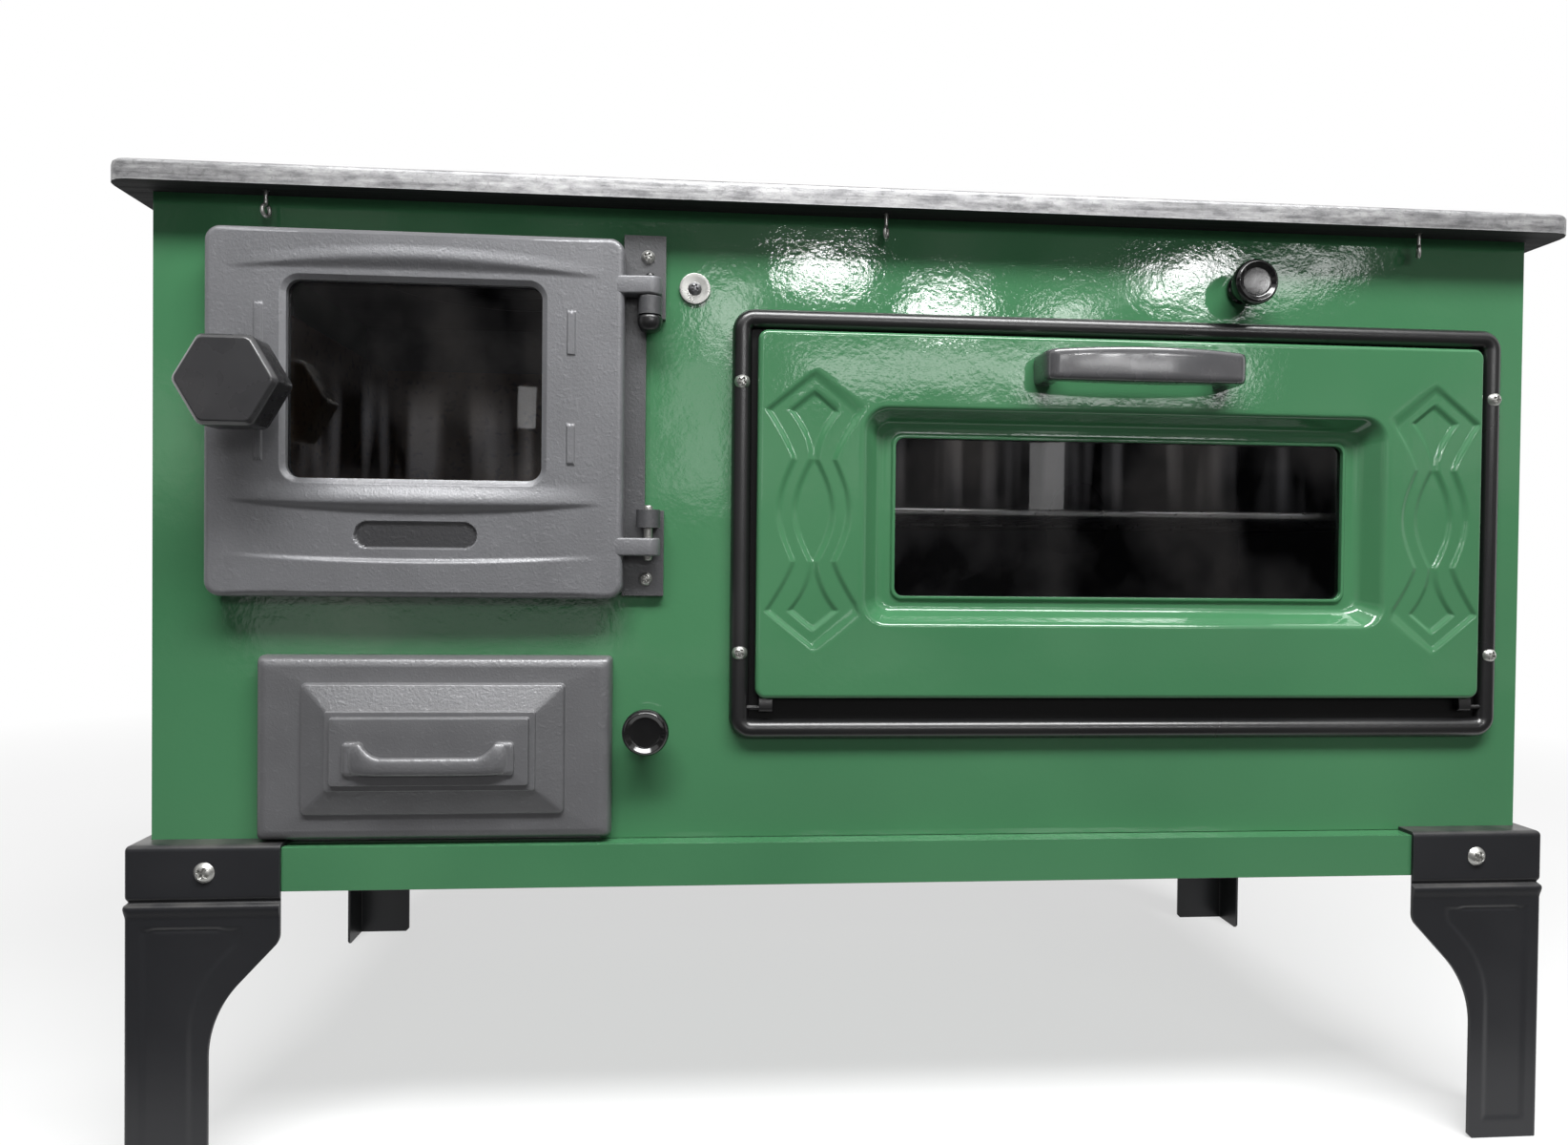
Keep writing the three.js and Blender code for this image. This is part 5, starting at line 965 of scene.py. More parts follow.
def legs():
    # Two grids, outside and inside, of L-shaped rows stacked up the leg and folded in over the tray. The
    # outside stands out by roll - crease - panel, each a smooth step or deep * exp(-(distance / wide)^2)
    size = {
        "thick": 2.2, "trayTop": 219, "shoulder": 56, "shoulderRound": 12, "hollowRound": 71, "footNib": 3,
        "turn": math.radians(43), "front": (97.8, 52.6), "side": (82, 38), "corner": 2.6, "fold": 3.4,
        "crease": 184.4, "creaseDeep": 1.8, "creaseWide": 1.9, "roll": 1.5, "rollLow": 173, "rollRise": 8,
        "rollEnd": 2.5, "panelIn": 11.8, "panelTop": 166.5, "panelFoot": 14, "panelWide": (71.5, 40.8),
        "panelDeep": 1.0, "panelSlope": 4.5, "panelSideShare": 0.8, "nickDeep": 0.8, "nickWide": 1.5,
        "nickEnd": 6, "nickIn": 3, "nickOut": 8, "coarseFrom": 4, "coarseTo": 160, "frontLip": 16.2,
        "sideLip": 8.5, "skin": 0.1,
    }
    for end in ("front", "rear"):
        for side in ("left", "right"):
            low, high = cornersOf(f"leg_{end}_{side}")
            top, fold, thick = high[2], size["fold"], size["thick"]
            bend = np.linspace(0, math.pi / 2, 7)[1:]
            lip = np.linspace(0, 1, 5)[1:]
            z = np.concatenate([
                np.linspace(0, size["footNib"], 4), np.linspace(size["coarseFrom"], size["coarseTo"], 100),
                np.linspace(size["coarseTo"] + 1, top - fold, 90),
            ])
            upright = np.zeros(len(z))
            wideFront = legWidth(z, size, *size["front"], top)
            wideSide = legWidth(z, size, *size["side"], top)
            extra = len(bend) + len(lip)
            wideFront = np.concatenate([wideFront, np.full(extra, size["front"][0])])[:, None]
            wideSide = np.concatenate([wideSide, np.full(extra, size["side"][0])])[:, None]

            def plan(frontIn, sideIn, height):
                # The L seen from above at each height, set in by so much from its two outer faces
                frontIn, sideIn = frontIn[:, None], sideIn[:, None]
                t = np.linspace(0, math.pi / 2, 7)
                radius = np.maximum(size["corner"] - np.minimum(frontIn, sideIn), 0)
                cornerA = np.maximum(size["corner"], sideIn) - radius * np.sin(t)
                cornerB = np.maximum(size["corner"], frontIn) - radius * np.cos(t)
                alongFront = np.linspace(1, 0, 64)[:-1]
                alongSide = np.linspace(0, 1, 30)[1:]
                frontA = cornerA[:, :1] + (wideFront - cornerA[:, :1]) * alongFront
                sideB = cornerB[:, -1:] + (wideSide - cornerB[:, -1:]) * alongSide
                a = np.concatenate([frontA, cornerA, np.broadcast_to(sideIn, sideB.shape)], 1)
                b = np.concatenate([np.broadcast_to(frontIn, frontA.shape), cornerB, sideB], 1)
                return a, b, np.broadcast_to(height[:, None], a.shape)

            outerIn = np.concatenate([upright, fold * (1 - np.cos(bend)), fold + 0 * lip])
            innerIn = np.concatenate([upright + thick, fold - (fold - thick) * np.cos(bend), fold + 0 * lip])
            lipShare = np.concatenate([upright, 0 * bend, lip])
            outerZ = np.concatenate([z, top - fold + fold * np.sin(bend), top + 0 * lip])
            innerZ = np.concatenate([z, top - fold + (fold - thick) * np.sin(bend), top - thick + 0 * lip])
            lipIn = lipShare * (size["frontLip"] - fold), lipShare * (size["sideLip"] - fold)
            a, b, height = plan(outerIn + lipIn[0], outerIn + lipIn[1], outerZ)
            crease = -size["creaseDeep"] * np.exp(-((height - size["crease"]) / size["creaseWide"]) ** 2)
            rising = smooth((height - size["rollLow"]) / size["rollRise"])
            roll = size["roll"] * rising * smooth((size["crease"] - height) / size["rollEnd"])
            panelWide = legWidth(height, size, *size["panelWide"], top)
            within = np.minimum(np.minimum(a - size["panelIn"], size["panelSideShare"] * (panelWide - a)),
                                np.minimum(height - size["panelFoot"], size["panelTop"] - height))
            nick = smooth((a - size["panelIn"] - size["nickIn"]) / size["nickEnd"])
            nick = nick * smooth((size["panelWide"][0] - size["nickOut"] - a) / size["nickEnd"])
            sunk = -size["panelDeep"] * smooth(within / size["panelSlope"] + 0.5)
            line = np.exp(-((height - size["panelTop"]) / size["nickWide"]) ** 2)
            sunk = sunk - size["nickDeep"] * nick * line
            relief = np.where(lipShare[:, None] > 0, 0, crease + roll + np.where(b < size["skin"], sunk, 0))
            lean = np.where(b < size["corner"], 1.0, 0.0), np.where(a < size["corner"], 1.0, 0.0)
            length = np.maximum(np.hypot(*lean), 1)
            outerA, outerB = a - relief * lean[1] / length, b - relief * lean[0] / length
            innerA, innerB, innerHeight = plan(innerIn + lipIn[0], innerIn + lipIn[1], innerZ)

            def placed(a, b, height):
                # Distances in from the two outer faces become places at this leg's own corner
                x = low[0] + a if side == "left" else high[0] - a
                y = low[1] + b if end == "front" else high[1] - b
                return np.stack([x, y, height], -1)

            makePiece(f"legPressing_{end}_{side}", [
                sheetShell(placed(outerA, outerB, height), placed(innerA, innerB, innerHeight)),
            ], "leg_paint", "stove_body", [f"leg_{end}_{side}"], 50)


# Oven frame: a half-round bead round a flat ledge, screwed to the panel

def ovenFrame():
    # Bead: out = rise * sin^0.7 of the turn, in = bead / 2 * (1 - cos); the ledge is four plain rings
    size = {
        "corner": 15, "bead": 13.5, "rise": 9, "back": 0.3, "ledge": 1.8, "side": 38.7, "top": 33.2,
        "bottom": 52.2, "mouthCorner": 10, "leastCorner": 2, "beadPower": 0.7,
    }
    rect = rectOf("oven_frame")
    mouth = rect + np.array([size["side"], -size["side"], size["bottom"], -size["top"]])
    turns = np.linspace(0, math.pi, 17)
    ins = size["bead"] / 2 * (1 - np.cos(turns))
    outs = size["back"] + size["rise"] * np.sin(turns) ** size["beadPower"]
    profile = np.stack([ins, ins, outs, np.maximum(size["corner"] - ins, size["leastCorner"])], -1)
    profile[-1, 2] = size["ledge"]
    bead = frontRings(rect, profile, 8, 40, 24)
    makePiece("ovenFrameBead", [shell(bead, joined=True)], "black_enamel", "stove_body", ["oven_frame"])
    inner = rect + size["bead"] * np.array([1, -1, 1, -1])
    ledge = [
        frontRings(box, [[0, 0, out, corner]], 8, 40, 24)
        for box, out, corner in (
            (inner, size["back"], size["leastCorner"]), (inner, size["ledge"], size["leastCorner"]),
            (mouth, size["ledge"], size["mouthCorner"]), (mouth, size["back"], size["mouthCorner"]),
        )
    ]
    # The ledge takes the darker, duller enamel copy: painted shade
    makePiece("ovenFrameLedge", [shell(np.concatenate(ledge), joined=True)], "painted_shade_enamel", "stove_body")


# Oven door: a pressed pan with a sunk window place and a stepped ornament at each side

def ovenDoor():
    # Rounded rectangles along a profile from the edge over the face into the window's place and back
    size = {
        "face": 12, "back": 3, "sheet": 1.5, "corner": 7, "round": 3, "recessX": 73.5, "recessZ": 51.5,
        "recessCorner": 16, "floor": -2.6, "slopeX": 12, "slopeZ": 9, "ledgeX": 10, "ledgeZ": 8, "lip": 2,
        "lipRise": 1.8, "floorCorner": 10, "windowCorner": 6, "below": 9.9, "shoulder": 4.5, "pressed": 3.6,
        "backCorner": 5, "lipSlope": 1.2, "floorStep": 2, "lipStep": 1, "behindIn": 2,
        "rounds": (0, 4.4, 5, 0.8, 0.9, 0.6, 0),
    }
    rect = rectOf("oven_door_panel") + np.array([0, 0, size["below"], 0])
    grid = {"cornerSteps": 8, "across": 60, "up": 270}
    floorX, floorZ = size["recessX"] + size["slopeX"], size["recessZ"] + size["slopeZ"]
    lipX, lipZ = floorX + size["ledgeX"], floorZ + size["ledgeZ"]
    windowX, windowZ = lipX + size["lip"], lipZ + size["lip"]
    turns = np.linspace(0, math.pi / 2, 7)
    roll = size["round"] * (1 - np.cos(turns))
    edgeOut = size["face"] - size["round"] * (1 - np.sin(turns))
    edge = np.stack([roll, roll, edgeOut, size["corner"] - roll], -1)
    sheet = size["sheet"]
    before = [[sheet, sheet, size["back"], size["backCorner"]], [0, 0, size["back"], size["corner"]]]
    share, shoulder = np.linspace(0, 1, 86)[1:-1, None], size["shoulder"]
    end = np.array([
        size["recessX"] - shoulder, size["recessZ"] - shoulder, size["face"], size["recessCorner"] + shoulder,
    ])
    face = edge[-1] * (1 - share) + end * share
    slope = size["lipSlope"]
    sunk = eased([
        end, [size["recessX"], size["recessZ"], size["face"], size["recessCorner"]],
        [floorX, floorZ, size["floor"], size["floorCorner"]],
        [lipX - slope, lipZ - slope, size["floor"], size["windowCorner"] + size["floorStep"]],
        [lipX, lipZ, size["floor"] + size["lipRise"], size["windowCorner"] + size["lipStep"]],
        [windowX, windowZ, size["floor"] + size["lipRise"], size["windowCorner"]],
        [windowX, windowZ, size["floor"] - sheet, size["windowCorner"]],
    ], size["rounds"], 8)
    inX, inZ = size["recessX"] - size["behindIn"], size["recessZ"] - size["behindIn"]
    backOut = size["face"] - sheet - size["pressed"]
    behind = [
        [floorX - sheet, floorZ - sheet, size["floor"] - sheet, size["floorCorner"]],
        [inX, inZ, backOut, size["recessCorner"]], [sheet, sheet, backOut, size["backCorner"]],
    ]
    profile = np.vstack([before, edge, face, sunk, behind])
    rings = frontRings(rect, profile, **grid)
    shaped = np.zeros(len(profile))
    shaped[len(before) + len(edge) - 1:len(before) + len(edge) + len(face)] = 1
    rings[..., 1] += shaped[:, None] * ovenOrnament(rings[..., 0], rings[..., 2], rect)
    makePiece("ovenDoorPressing", [shell(rings, joined=True)], "green_enamel", "hinged_oven_door",
              ["oven_door_panel"], 50)
    lugs = []
    lug = {"axisDown": 6.7, "axisOut": 5.3, "radius": 3.1, "wide": 9, "in": 3, "long": 5.5}
    for x0 in (rect[0] + lug["in"], rect[1] - lug["in"] - lug["wide"]):
        centreZ = rect[2] - lug["axisDown"]
        turn = np.linspace(0, 2 * math.pi, 24, endpoint=False)
        section = np.stack([np.sin(turn), np.cos(turn)], -1)
        tongue = section * lug["radius"] + np.maximum(section[:, 1:], 0) * np.array([0, lug["long"]])
        lugRings = np.stack([
            np.column_stack([np.full(24, x), frontY - lug["axisOut"] + tongue[:, 0], centreZ + tongue[:, 1]])
            for x in (x0, x0 + lug["wide"])
        ])
        lugs.append(shell(lugRings))
    makePiece("ovenDoorLugs", lugs, "black_enamel", "hinged_oven_door", (), 50)


def ovenLiner():
    # The inner pan: an upright wall that stops short of the pressed face, and a floor with the window's hole
    size = {"front": 6.4, "sheet": 1.5, "glassLap": 8, "corner": 10, "wallCorner": 9, "windowCorner": 6}
    rect, window = rectOf("oven_door_inner"), rectOf("oven_door_glass", -size["glassLap"])
    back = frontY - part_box("oven_door_inner")[1].y / metre
    wall = rect + size["sheet"] * np.array([1, -1, 1, -1])
    rings = [
        frontRings(box, [[0, 0, out, corner]], 8)
        for box, out, corner in (
            (wall, size["front"], size["wallCorner"]), (rect, size["front"], size["corner"]),
            (rect, back, size["corner"]), (window, back, size["windowCorner"]),
            (window, back + size["sheet"], size["windowCorner"]),
            (wall, back + size["sheet"], size["wallCorner"]),
        )
    ]
    makePiece("ovenDoorLiner", [shell(np.concatenate(rings), joined=True)], "raw_sheet", "hinged_oven_door",
              ["oven_door_inner"])


def ovenOrnament(x, z, rect):
    # How deep the ornament is pressed in. It is a chevron, a waist, a lens, a waist and a chevron, and
    # steps down twice: depth = sum over two outlines of step * smooth(distance inside the outline)
    size = {
        "inFromSide": (39, 36), "middleUp": 128.7, "lens": 34.8, "shoulder": 68.3, "step": 1.65,
        "stepWide": 4, "ridge": 1.2, "leanShare": 0.88,
    }
    outlines = (
        {"waist": 14, "swell": 10, "flare": 18, "bend": 1.25, "tip": 94.3},
        {"waist": 2.2, "swell": 10.8, "flare": 13.8, "bend": 2, "tip": 81.5},
    )
    s = np.abs(z - rect[2] - size["middleUp"])
    depth = np.zeros_like(x)
    for centre in (rect[0] + size["inFromSide"][0], rect[1] - size["inFromSide"][1]):
        for line in outlines:
            lens = line["waist"] + line["swell"] * np.cos(math.pi / 2 * np.clip(s / size["lens"], 0, 1))
            t = np.clip((s - size["lens"]) / (size["shoulder"] - size["lens"]), 0, 1)
            flare = line["waist"] + line["flare"] * t ** line["bend"]
            wide, point = line["waist"] + line["flare"], line["tip"] - size["shoulder"]
            chevron = wide * (line["tip"] - s) / point
            half = np.where(s < size["lens"], lens, np.where(s < size["shoulder"], flare, chevron))
            lean = np.where(s < size["shoulder"], size["leanShare"], 1 / math.hypot(1, wide / point))
            inside = (half - np.hypot(x - centre, size["ridge"])) * lean
            depth += size["step"] * smooth(inside / size["stepWide"] + 0.5)
    return depth


def ovenHandle():
    # A bowed bar swept along a path whose two corners are rounded; its height tapers to the ends
    size = {
        "half": 70.5, "thick": 13, "tall": 24, "face": 12, "reach": 36, "endReach": 29, "round": 10,
        "gap": 0.3, "foot": 6, "taperShare": 0.12, "slack": 0.2,
    }
    low, high = cornersOf("oven_door_handle")
    middleX, middleZ = (low[0] + high[0]) / 2, (low[2] + high[2]) / 2
    legX = size["half"] - size["thick"] / 2
    bowX = np.linspace(-legX, legX, 33)
    bulge = size["reach"] - size["endReach"]
    bow = size["face"] + size["endReach"] - size["thick"] / 2 + bulge * (1 - (bowX / legX) ** 2)
    start = size["face"] + size["gap"]
    foot = start + size["foot"]
    corners = np.column_stack([bowX, bow, np.zeros(33)])
    ends = [[[-legX, start, 0], [-legX, foot, 0]], [[legX, foot, 0], [legX, start, 0]]]
    reaches = [0, 1, size["round"], *[1] * 31, size["round"], 1, 0]
    path = eased(np.vstack([ends[0], corners, ends[1]]), reaches, 6)
    points = np.column_stack([middleX + path[:, 0], frontY - path[:, 1], np.full(len(path), middleZ)])
    taper = 1 - size["taperShare"] * np.clip(np.abs(path[:, 0]) / legX, 0, 1) ** 2
    section = boxySection(size["thick"] / 2, size["tall"] / 2 - size["slack"], 5, 48)
    bar = swept(points, section, widths=taper)
    inner = np.clip((bar[..., 1] - points[:, None, 1]) / (size["thick"] / 2), 0, 1)
    bar[..., 1] += inner * bulge * np.clip(1 - (path[:, None, 0] / legX) ** 2, 0, 1)
    # The bar takes the lighter bakelite copy: painted sheen
    makePiece("ovenHandleBar", [shell(bar)], "painted_sheen_bakelite", "hinged_oven_door",
              ["oven_door_handle"], 45)


# Small things: the eyes under the plate, hinge pins, the flue collar and the oven's rack

def plateHooks():
    # A wire down from the plate into an open ring: [half * cos, tall * sin], turned about the upright
    size = {
        "wire": 1.3, "eyeHalf": 2.8, "eyeTall": 3.8, "top": 3, "drop": 9, "neck": 2, "turn": math.radians(62),
    }
    for place in ("left", "middle", "right"):
        low, high = cornersOf("plate_hook_" + place)
        x, y = (low[0] + high[0]) / 2, (low[1] + high[1]) / 2
        rimZ = high[2] - size["top"]
        turns = np.linspace(math.pi / 2, math.pi / 2 + 1.82 * math.pi, 40)
        eyeMiddle = rimZ - size["drop"] - size["eyeTall"]
        stemFoot = eyeMiddle + size["eyeTall"] + size["neck"]
        stem = np.column_stack([np.zeros(8), np.zeros(8), np.linspace(high[2], stemFoot, 8)])
        across, upward = size["eyeHalf"] * np.cos(turns), size["eyeTall"] * np.sin(turns)
        eye = np.column_stack([
            across * math.cos(size["turn"]), across * math.sin(size["turn"]), eyeMiddle + upward,
        ])
        path = np.vstack([stem, eye]) + np.array([x, y, 0])
        square = (-math.sin(size["turn"]), math.cos(size["turn"]), 0)
        makePiece("plateEye_" + place, [shell(swept(path, roundSection(size["wire"]), square))], "zinc",
                  "stove_body", ["plate_hook_" + place])


def hingePins():
    # A pin turned about its own line; the upper one stands in a tapered cap
    size = {"pin": 3, "cap": 8.2, "tall": 10.7, "foot": 5.6, "taper": 4.4, "round": 2.4, "middle": 0.4}
    for node in ("fire_hinge_pin_top", "fire_hinge_pin_bottom"):
        low, high = cornersOf(node)
        centre = ((low[0] + high[0]) / 2, (low[1] + high[1]) / 2)
        if node.endswith("top"):
            top = low[2] + size["tall"]
            outline = [[size["foot"], low[2], 0], [size["cap"], low[2] + size["taper"], 0],
                       [size["cap"], top, 0], [size["pin"], top, 0]]
        else:
            outline = [[size["pin"], low[2], 0]]
        profile = [
            [size["middle"], low[2], 0], *outline, [size["pin"], high[2], 0], [size["middle"], high[2], 0],
        ]
        makePiece(node + "_turned", [shell(stood(centre, eased(profile, size["round"])[:, :2], 32))],
                  slotOf[node], "stove_body", [node])


def flueCollar():
    # A tube with a flange at its foot, one closed profile turned about the upright
    size = {
        "inner": 54, "outer": 58, "seat": 55.7, "flange": 74, "flangeTall": 6, "fillet": 5, "filletIn": 1,
        "seatGap": 0.3, "bevel": 1, "rounds": (0, 0.3, 0.3, 0.6, 1.5, 4, 4, 1.2, 1.2, 0),
    }
    low, high = cornersOf("flue_collar")
    centre = ((low[0] + high[0]) / 2, (low[1] + high[1]) / 2)
    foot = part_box("centre_lid")[1].z / metre + size["seatGap"]
    neck = foot + size["flangeTall"]
    profile = eased([
        [size["inner"], low[2], 0], [size["seat"], low[2], 0], [size["seat"], foot, 0],
        [size["flange"], foot, 0],
        [size["flange"], neck, 0], [size["outer"] + size["filletIn"], neck, 0],
        [size["outer"], neck + size["fillet"], 0], [size["outer"], high[2], 0],
        [size["inner"], high[2], 0], [size["inner"], low[2] + size["bevel"], 0],
    ], size["rounds"])
    makePiece("flueCollarCasting", [shell(stood(centre, profile[:, :2], 96), joined=True)], "plate_iron",
              "stove_body", ["flue_collar"])


def ovenRack():
    # A closed rod frame with cross wires, each a round section swept along its path
    size = {"frame": 3, "wire": 1.75, "bars": 13, "corner": 16}
    low, high = cornersOf("oven_rack")
    z = (low[2] + high[2]) / 2
    path = np.array([[low[0], high[0], low[1], high[1]]]) + size["frame"] * np.array([1, -1, 1, -1])
    loop = roundedLoops(path, np.array([float(size["corner"])]), 8, 8, 6)[0]
    loop = np.column_stack([loop, np.full(len(loop), z)])
    ahead = np.roll(loop, -1, 0) - np.roll(loop, 1, 0)
    outward = np.column_stack([ahead[:, 1], -ahead[:, 0]]) / np.linalg.norm(ahead, axis=1, keepdims=True)
    section = roundSection(size["frame"], 12)
    rings = loop[:, None] + np.concatenate([
        outward[:, None] * section[None, :, :1], np.broadcast_to(section[None, :, 1:], (len(loop), 12, 1)),
    ], -1)
    shells = [shell(rings, joined=True)]
    pitch = (path[0, 1] - path[0, 0]) / (size["bars"] + 1)
    for bar in range(1, size["bars"] + 1):
        x = path[0, 0] + bar * pitch
        ends = np.array([[x, path[0, 2], z], [x, path[0, 3], z]])
        shells.append(shell(swept(ends, roundSection(size["wire"], 10))))
    makePiece("ovenRackWires", shells, "zinc", "stove_body", ["oven_rack"])


fireDoor()
latchKnob()
pullKnob("shakerKnob", "shaker_knob", "sliding_shaker")
pullKnob("damperKnob", "damper_knob", "sliding_damper")
ashDrawer()
legs()
ovenFrame()
ovenDoor()
ovenLiner()
ovenHandle()
print("doors and handles made")
screws()
stayWasher()
plateHooks()
hingePins()
flueCollar()
ovenRack()
print("small pieces made")

softEdges = {
    "fire_door_frame": 1.2, "base_tray": 1.4, "cooktop_plate": 1.4, "cooktop_ring": 0.8, "centre_lid": 0.8,
    "firebrick_left": 2.5, "firebrick_right": 2.5, "firebrick_rear": 2.5, "grate_bed": 1, "fire_grate": 1,
    "front_panel": 0.4, "ash_pan": 0.4,
}
# The fire door's frame takes the darker casting copy: painted shade
for nodeName, width in softEdges.items():
    softened(nodeName, width, "painted_shade_casting" if nodeName == "fire_door_frame" else None)
print("edges softened:", len(softEdges))


# Camera: where the photograph was taken from, in millimetres before the panel

def aimed(thing, side, upward, ahead, place):
    # A turn whose columns are side, upward and -ahead, then the place in metres
    turn = Matrix(np.column_stack([side, upward, -ahead]).tolist()).to_4x4()
    turn.translation = place
    thing.matrix_world = turn


def photoCamera():
    # Its lens is sensor width * focal length in pixels / picture width in pixels
    view = {
        "place": (-114.6, -692.3, 411.7), "yaw": 0.0773, "pitch": -0.0131, "roll": 0.0106, "focal": 1050,
        "imageWide": 1644, "sensorWide": 36,
    }
    yaw, pitch, roll = view["yaw"], view["pitch"], view["roll"]
    right = np.array([math.cos(yaw), -math.sin(yaw), 0])
    ahead = np.array([math.sin(yaw) * math.cos(pitch), math.cos(yaw) * math.cos(pitch), math.sin(pitch)])
    up = np.cross(right, ahead)
    axisX = math.cos(roll) * right + math.sin(roll) * up
    axisY = math.cos(roll) * up - math.sin(roll) * right
    data = bpy.data.cameras.new("photoCamera")
    data.sensor_fit, data.sensor_width = "HORIZONTAL", view["sensorWide"]
    data.lens = view["sensorWide"] * view["focal"] / view["imageWide"]
    data.clip_start, data.clip_end = 0.01, 50
    camera = linked("photoCamera", data)
    aimed(camera, axisX, axisY, ahead, (np.array(view["place"]) + np.array([0, frontY, 0])) * metre)
    bpy.context.scene.camera = camera


# Studio: a pale floor, soft lamps, dark cloths for reflections, and a white world for all but diffuse rays

def softLamp(name, place, aim, size, radiance):
    # A rectangle of even radiance: its power is pi * radiance * width * height
    data = bpy.data.lights.new(name, "AREA")
    data.shape, data.size, data.size_y = "RECTANGLE", *size
    data.energy = math.pi * radiance * size[0] * size[1]
    lamp = linked(name, data)
    direction = np.array(aim, float) - np.array(place, float)
    ahead = direction / np.linalg.norm(direction)
    side = np.cross(ahead, (0, 0, 1))
    side /= np.linalg.norm(side)
    aimed(lamp, side, np.cross(side, ahead), ahead, place)
    lamp.visible_camera = False


def shownRays(tree):
    # 1 for camera, transmission and glossy rays, 0 for diffuse ones
    rays = addNode(tree, "LightPath").outputs
    seen = mathOf(tree, "MAXIMUM", rays["Is Camera Ray"], rays["Is Transmission Ray"])
    return mathOf(tree, "MAXIMUM", seen, rays["Is Glossy Ray"])


def whiteWorld():
    # White to every ray but the diffuse ones, which get a softer fill
    world = bpy.data.worlds.new("studio")
    bpy.context.scene.world = world
    world.use_nodes = True
    tree = world.node_tree
    tree.nodes.clear()
    fill = 0.1
    strength = between(tree, shownRays(tree), 0.0, 1.0, fill, 1.0)
    background = addNode(tree, "Background", Color=(1, 1, 1, 1), Strength=strength)
    tree.links.new(background.outputs[0], addNode(tree, "OutputWorld").inputs[0])


def studioFloor():
    # Pale and matt round the stove, where it keeps the shadow, and white further away
    reach, paleTo, whiteFrom, leastShare = 9.0, 0.9, 2.4, 0.62
    corners = [(-reach, -reach, 0), (reach, -reach, 0), (reach, reach, 0), (-reach, reach, 0)]
    mesh = bpy.data.meshes.new("floor")
    mesh.from_pydata(corners, [], [(0, 1, 2, 3)])
    floor = linked("floor", mesh)
    tree, inputs = newFinish("studioFloor", Roughness=0.9, Specular_IOR_Level=0.1)
    where = addNode(tree, "TexCoord").outputs["Object"]
    distance = addNode(tree, "VectorMath", {"operation": "LENGTH"}, Vector=where).outputs["Value"]
    shown = shownRays(tree)
    pale = mixed(tree, noise(tree, where, 3.0), (0.84, 0.84, 0.84, 1), (0.88, 0.88, 0.88, 1))
    tree.links.new(mixed(tree, shown, (0.3, 0.3, 0.3, 1), pale), inputs["Base Color"])
    emission = addNode(tree, "Emission", Color=(1, 1, 1, 1), Strength=1.0)
    white = between(tree, distance, paleTo, whiteFrom, leastShare, 1.0)
    blended = addNode(tree, "MixShader", Fac=mathOf(tree, "MULTIPLY", white, shown))
    tree.links.new(tree.nodes["Principled BSDF"].outputs[0], blended.inputs[1])
    tree.links.new(emission.outputs[0], blended.inputs[2])
    tree.links.new(blended.outputs[0], tree.nodes["Material Output"].inputs["Surface"])
    mesh.materials.append(materials["studioFloor"])


def darkScreen():
    # A dark curved screen far behind the camera, so that glass and gloss stay deep; its lighter bars and
    # clouds glow to glossy rays only, painted reflections of hall lamps
    size = {"radius": 3.5, "low": 0.02, "high": 2.3, "turn": math.radians(78), "steps": 40}
    turns = np.linspace(-size["turn"], size["turn"], size["steps"])
    line = np.stack([size["radius"] * np.sin(turns), -size["radius"] * np.cos(turns)], -1)
    rows = [np.column_stack([line, np.full(size["steps"], z)]) for z in (size["low"], size["high"])]
    points = np.vstack(rows)
    at = np.arange(size["steps"] - 1)
    faces = np.stack([at, at + 1, at + 1 + size["steps"], at + size["steps"]], -1)
    mesh = bpy.data.meshes.new("darkScreen")
    mesh.from_pydata(points.tolist(), [], faces.tolist())
    screen = linked("darkScreen", mesh)
    screen.visible_camera = False
    tree, inputs = newFinish("screenCloth", Roughness=0.95)
    where = addNode(tree, "TexCoord").outputs["Object"]
    clouds = noise(tree, addNode(tree, "Mapping", Vector=where, Scale=(2.6, 2.6, 2.0)).outputs[0], 1.0, 4.0)
    bars = noise(tree, addNode(tree, "Mapping", Vector=where, Scale=(11.0, 11.0, 0.7)).outputs[0], 1.0, 1.0)
    height = addNode(tree, "SeparateXYZ", Vector=where).outputs["Z"]
    band = mathOf(tree, "MULTIPLY", between(tree, height, 0.55, 0.75), between(tree, height, 1.05, 0.9))
    lit = mathOf(tree, "MULTIPLY", between(tree, bars, 0.45, 0.6), band)
    paintedReflectionGlow = mathOf(tree, "ADD", mathOf(tree, "MULTIPLY", lit, 0.7), between(tree, clouds, 0.4, 0.75, 0.0, 0.5))
    # Bars and clouds are lighter in colour and glow for glossy rays alone: painted reflections, not a lamp
    tree.links.new(mixed(tree, paintedReflectionGlow, (0.012, 0.012, 0.016, 1), (0.4, 0.38, 0.35, 1)), inputs["Base Color"])
    tree.links.new(mixed(tree, clouds, (0.7, 0.8, 1, 1), (1, 0.85, 0.7, 1)), inputs["Emission Color"])
    rays = addNode(tree, "LightPath").outputs
    tree.links.new(mathOf(tree, "MULTIPLY", paintedReflectionGlow, rays["Is Glossy Ray"]), inputs["Emission Strength"])
    mesh.materials.append(materials["screenCloth"])


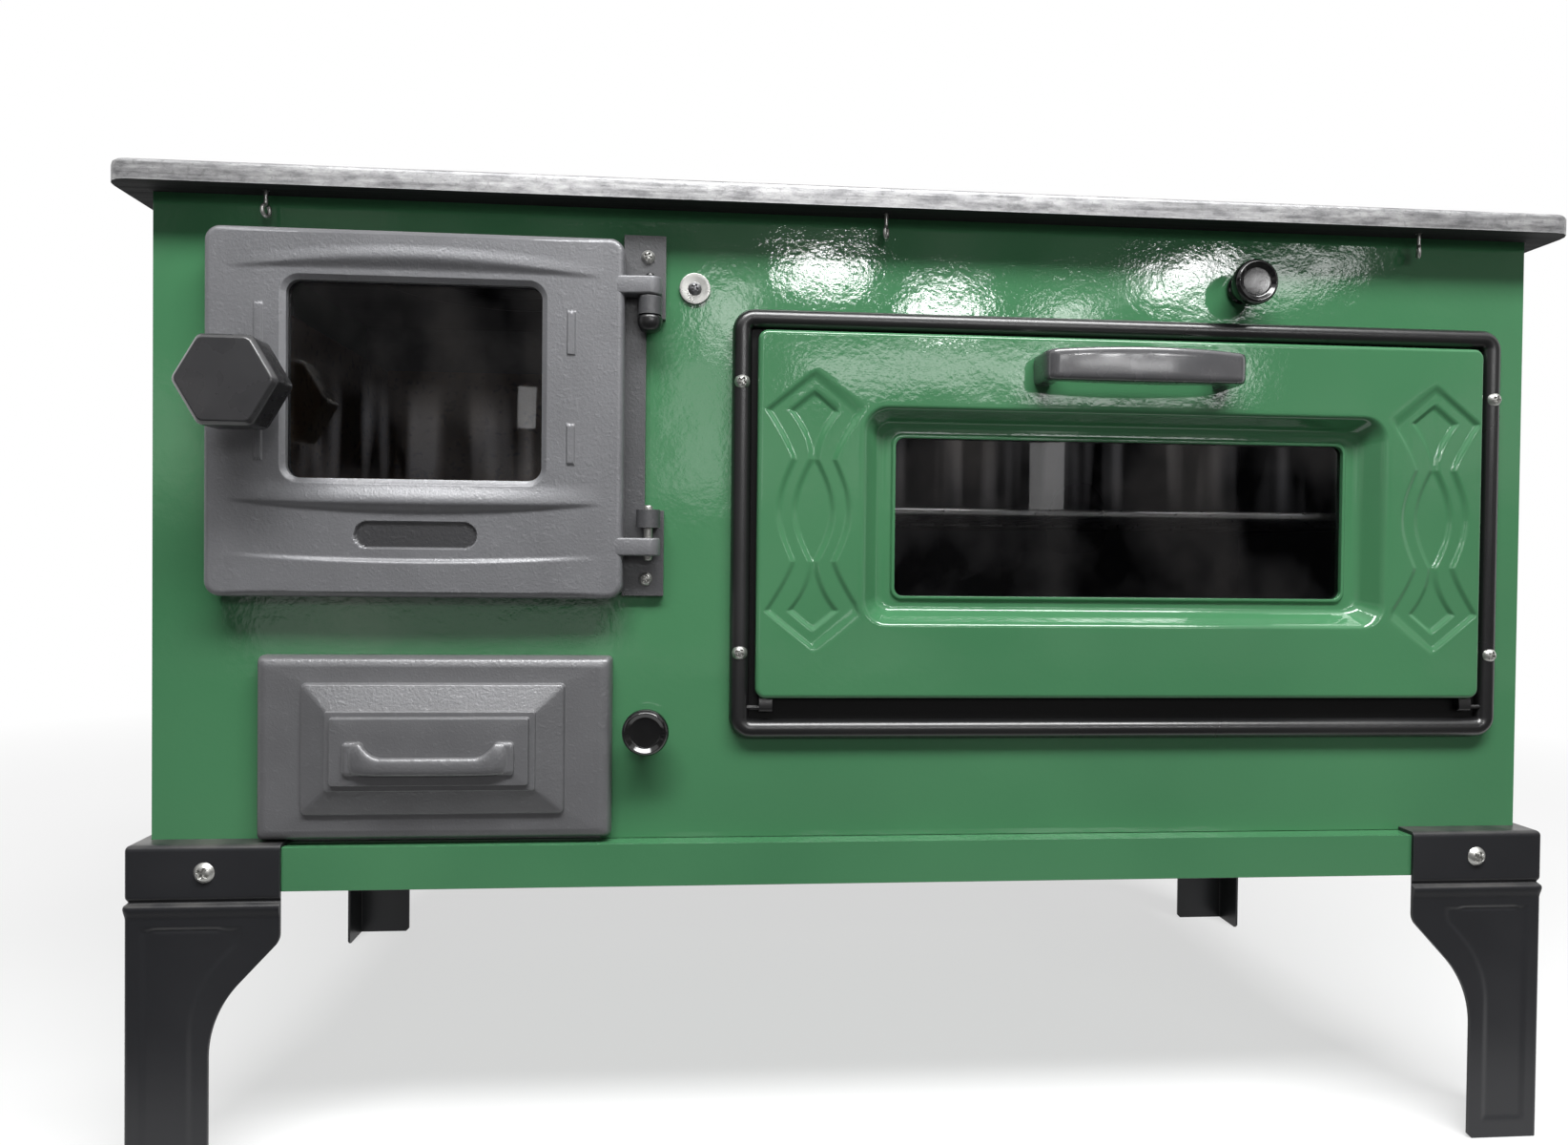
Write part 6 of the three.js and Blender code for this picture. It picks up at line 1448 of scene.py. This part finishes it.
def darkCarpet():
    # A dark cloth on the floor before the stove that only reflections and bounced light meet
    half, far, near, up = 3.2, -3.4, -0.32, 0.004
    corners = [(-half, far, up), (half, far, up), (half, near, up), (-half, near, up)]
    mesh = bpy.data.meshes.new("darkCarpet")
    mesh.from_pydata(corners, [], [(0, 1, 2, 3)])
    carpet = linked("darkCarpet", mesh)
    carpet.visible_camera = False
    carpet.visible_shadow = False
    carpet.visible_transmission = False
    tree, inputs = newFinish("carpetCloth", Roughness=0.95)
    dark, light = (0.03, 0.03, 0.033, 1), (0.13, 0.125, 0.12, 1)
    clouds = noise(tree, addNode(tree, "TexCoord").outputs["Object"], 1.6, 4.0)
    tree.links.new(mixed(tree, between(tree, clouds, 0.4, 0.7), dark, light), inputs["Base Color"])
    mesh.materials.append(materials["carpetCloth"])


def studio():
    # Each lamp in `spots` has its place [x, z] in one upright plane, its size and its radiance
    bpy.context.scene.view_settings.view_transform = "Standard"
    whiteWorld()
    studioFloor()
    darkScreen()
    darkCarpet()
    softLamp("overheadSoftbox", (0.15, -1.4, 2.5), (0, -0.1, 0.35), (2.6, 0.55), 28)
    softLamp("frontFill", (-0.6, -2.9, 1.9), (-0.1, -0.1, 0.4), (0.9, 0.5), 1.4)
    plane, aim = -3.0, (0.1, -0.2, 0.5)
    spots = {
        "A": ((0.29, 1.42), (0.26, 0.05), 70), "B": ((0.72, 1.3), (0.26, 0.08), 50),
        "C": ((1.79, 1.38), (0.77, 0.2), 9), "D": ((1.6, 1.44), (0.22, 0.08), 36),
        "E": ((-0.05, 1.26), (0.17, 0.2), 7), "F": ((2.25, 1.09), (0.77, 0.23), 5),
        "G": ((0.63, 1.09), (0.85, 0.12), 6), "H": ((1.1, 0.72), (0.12, 0.24), 1.4),
        "I": ((-0.73, 0.92), (0.06, 0.14), 2), "J": ((1.4, 1.07), (0.75, 0.16), 6),
        "K": ((1.16, 1.29), (0.18, 0.09), 16), "L": ((1.9, 1.33), (0.12, 0.08), 22),
        "M": ((-1.0, 0.17), (1.2, 0.2), 0.8), "N": ((-0.14, 0.87), (0.2, 0.5), 1.8),
    }
    for name, ((x, z), size, radiance) in spots.items():
        softLamp("hallLamp" + name, (x, plane, z), aim, size, radiance)


photoCamera()
studio()
print("camera and studio made")
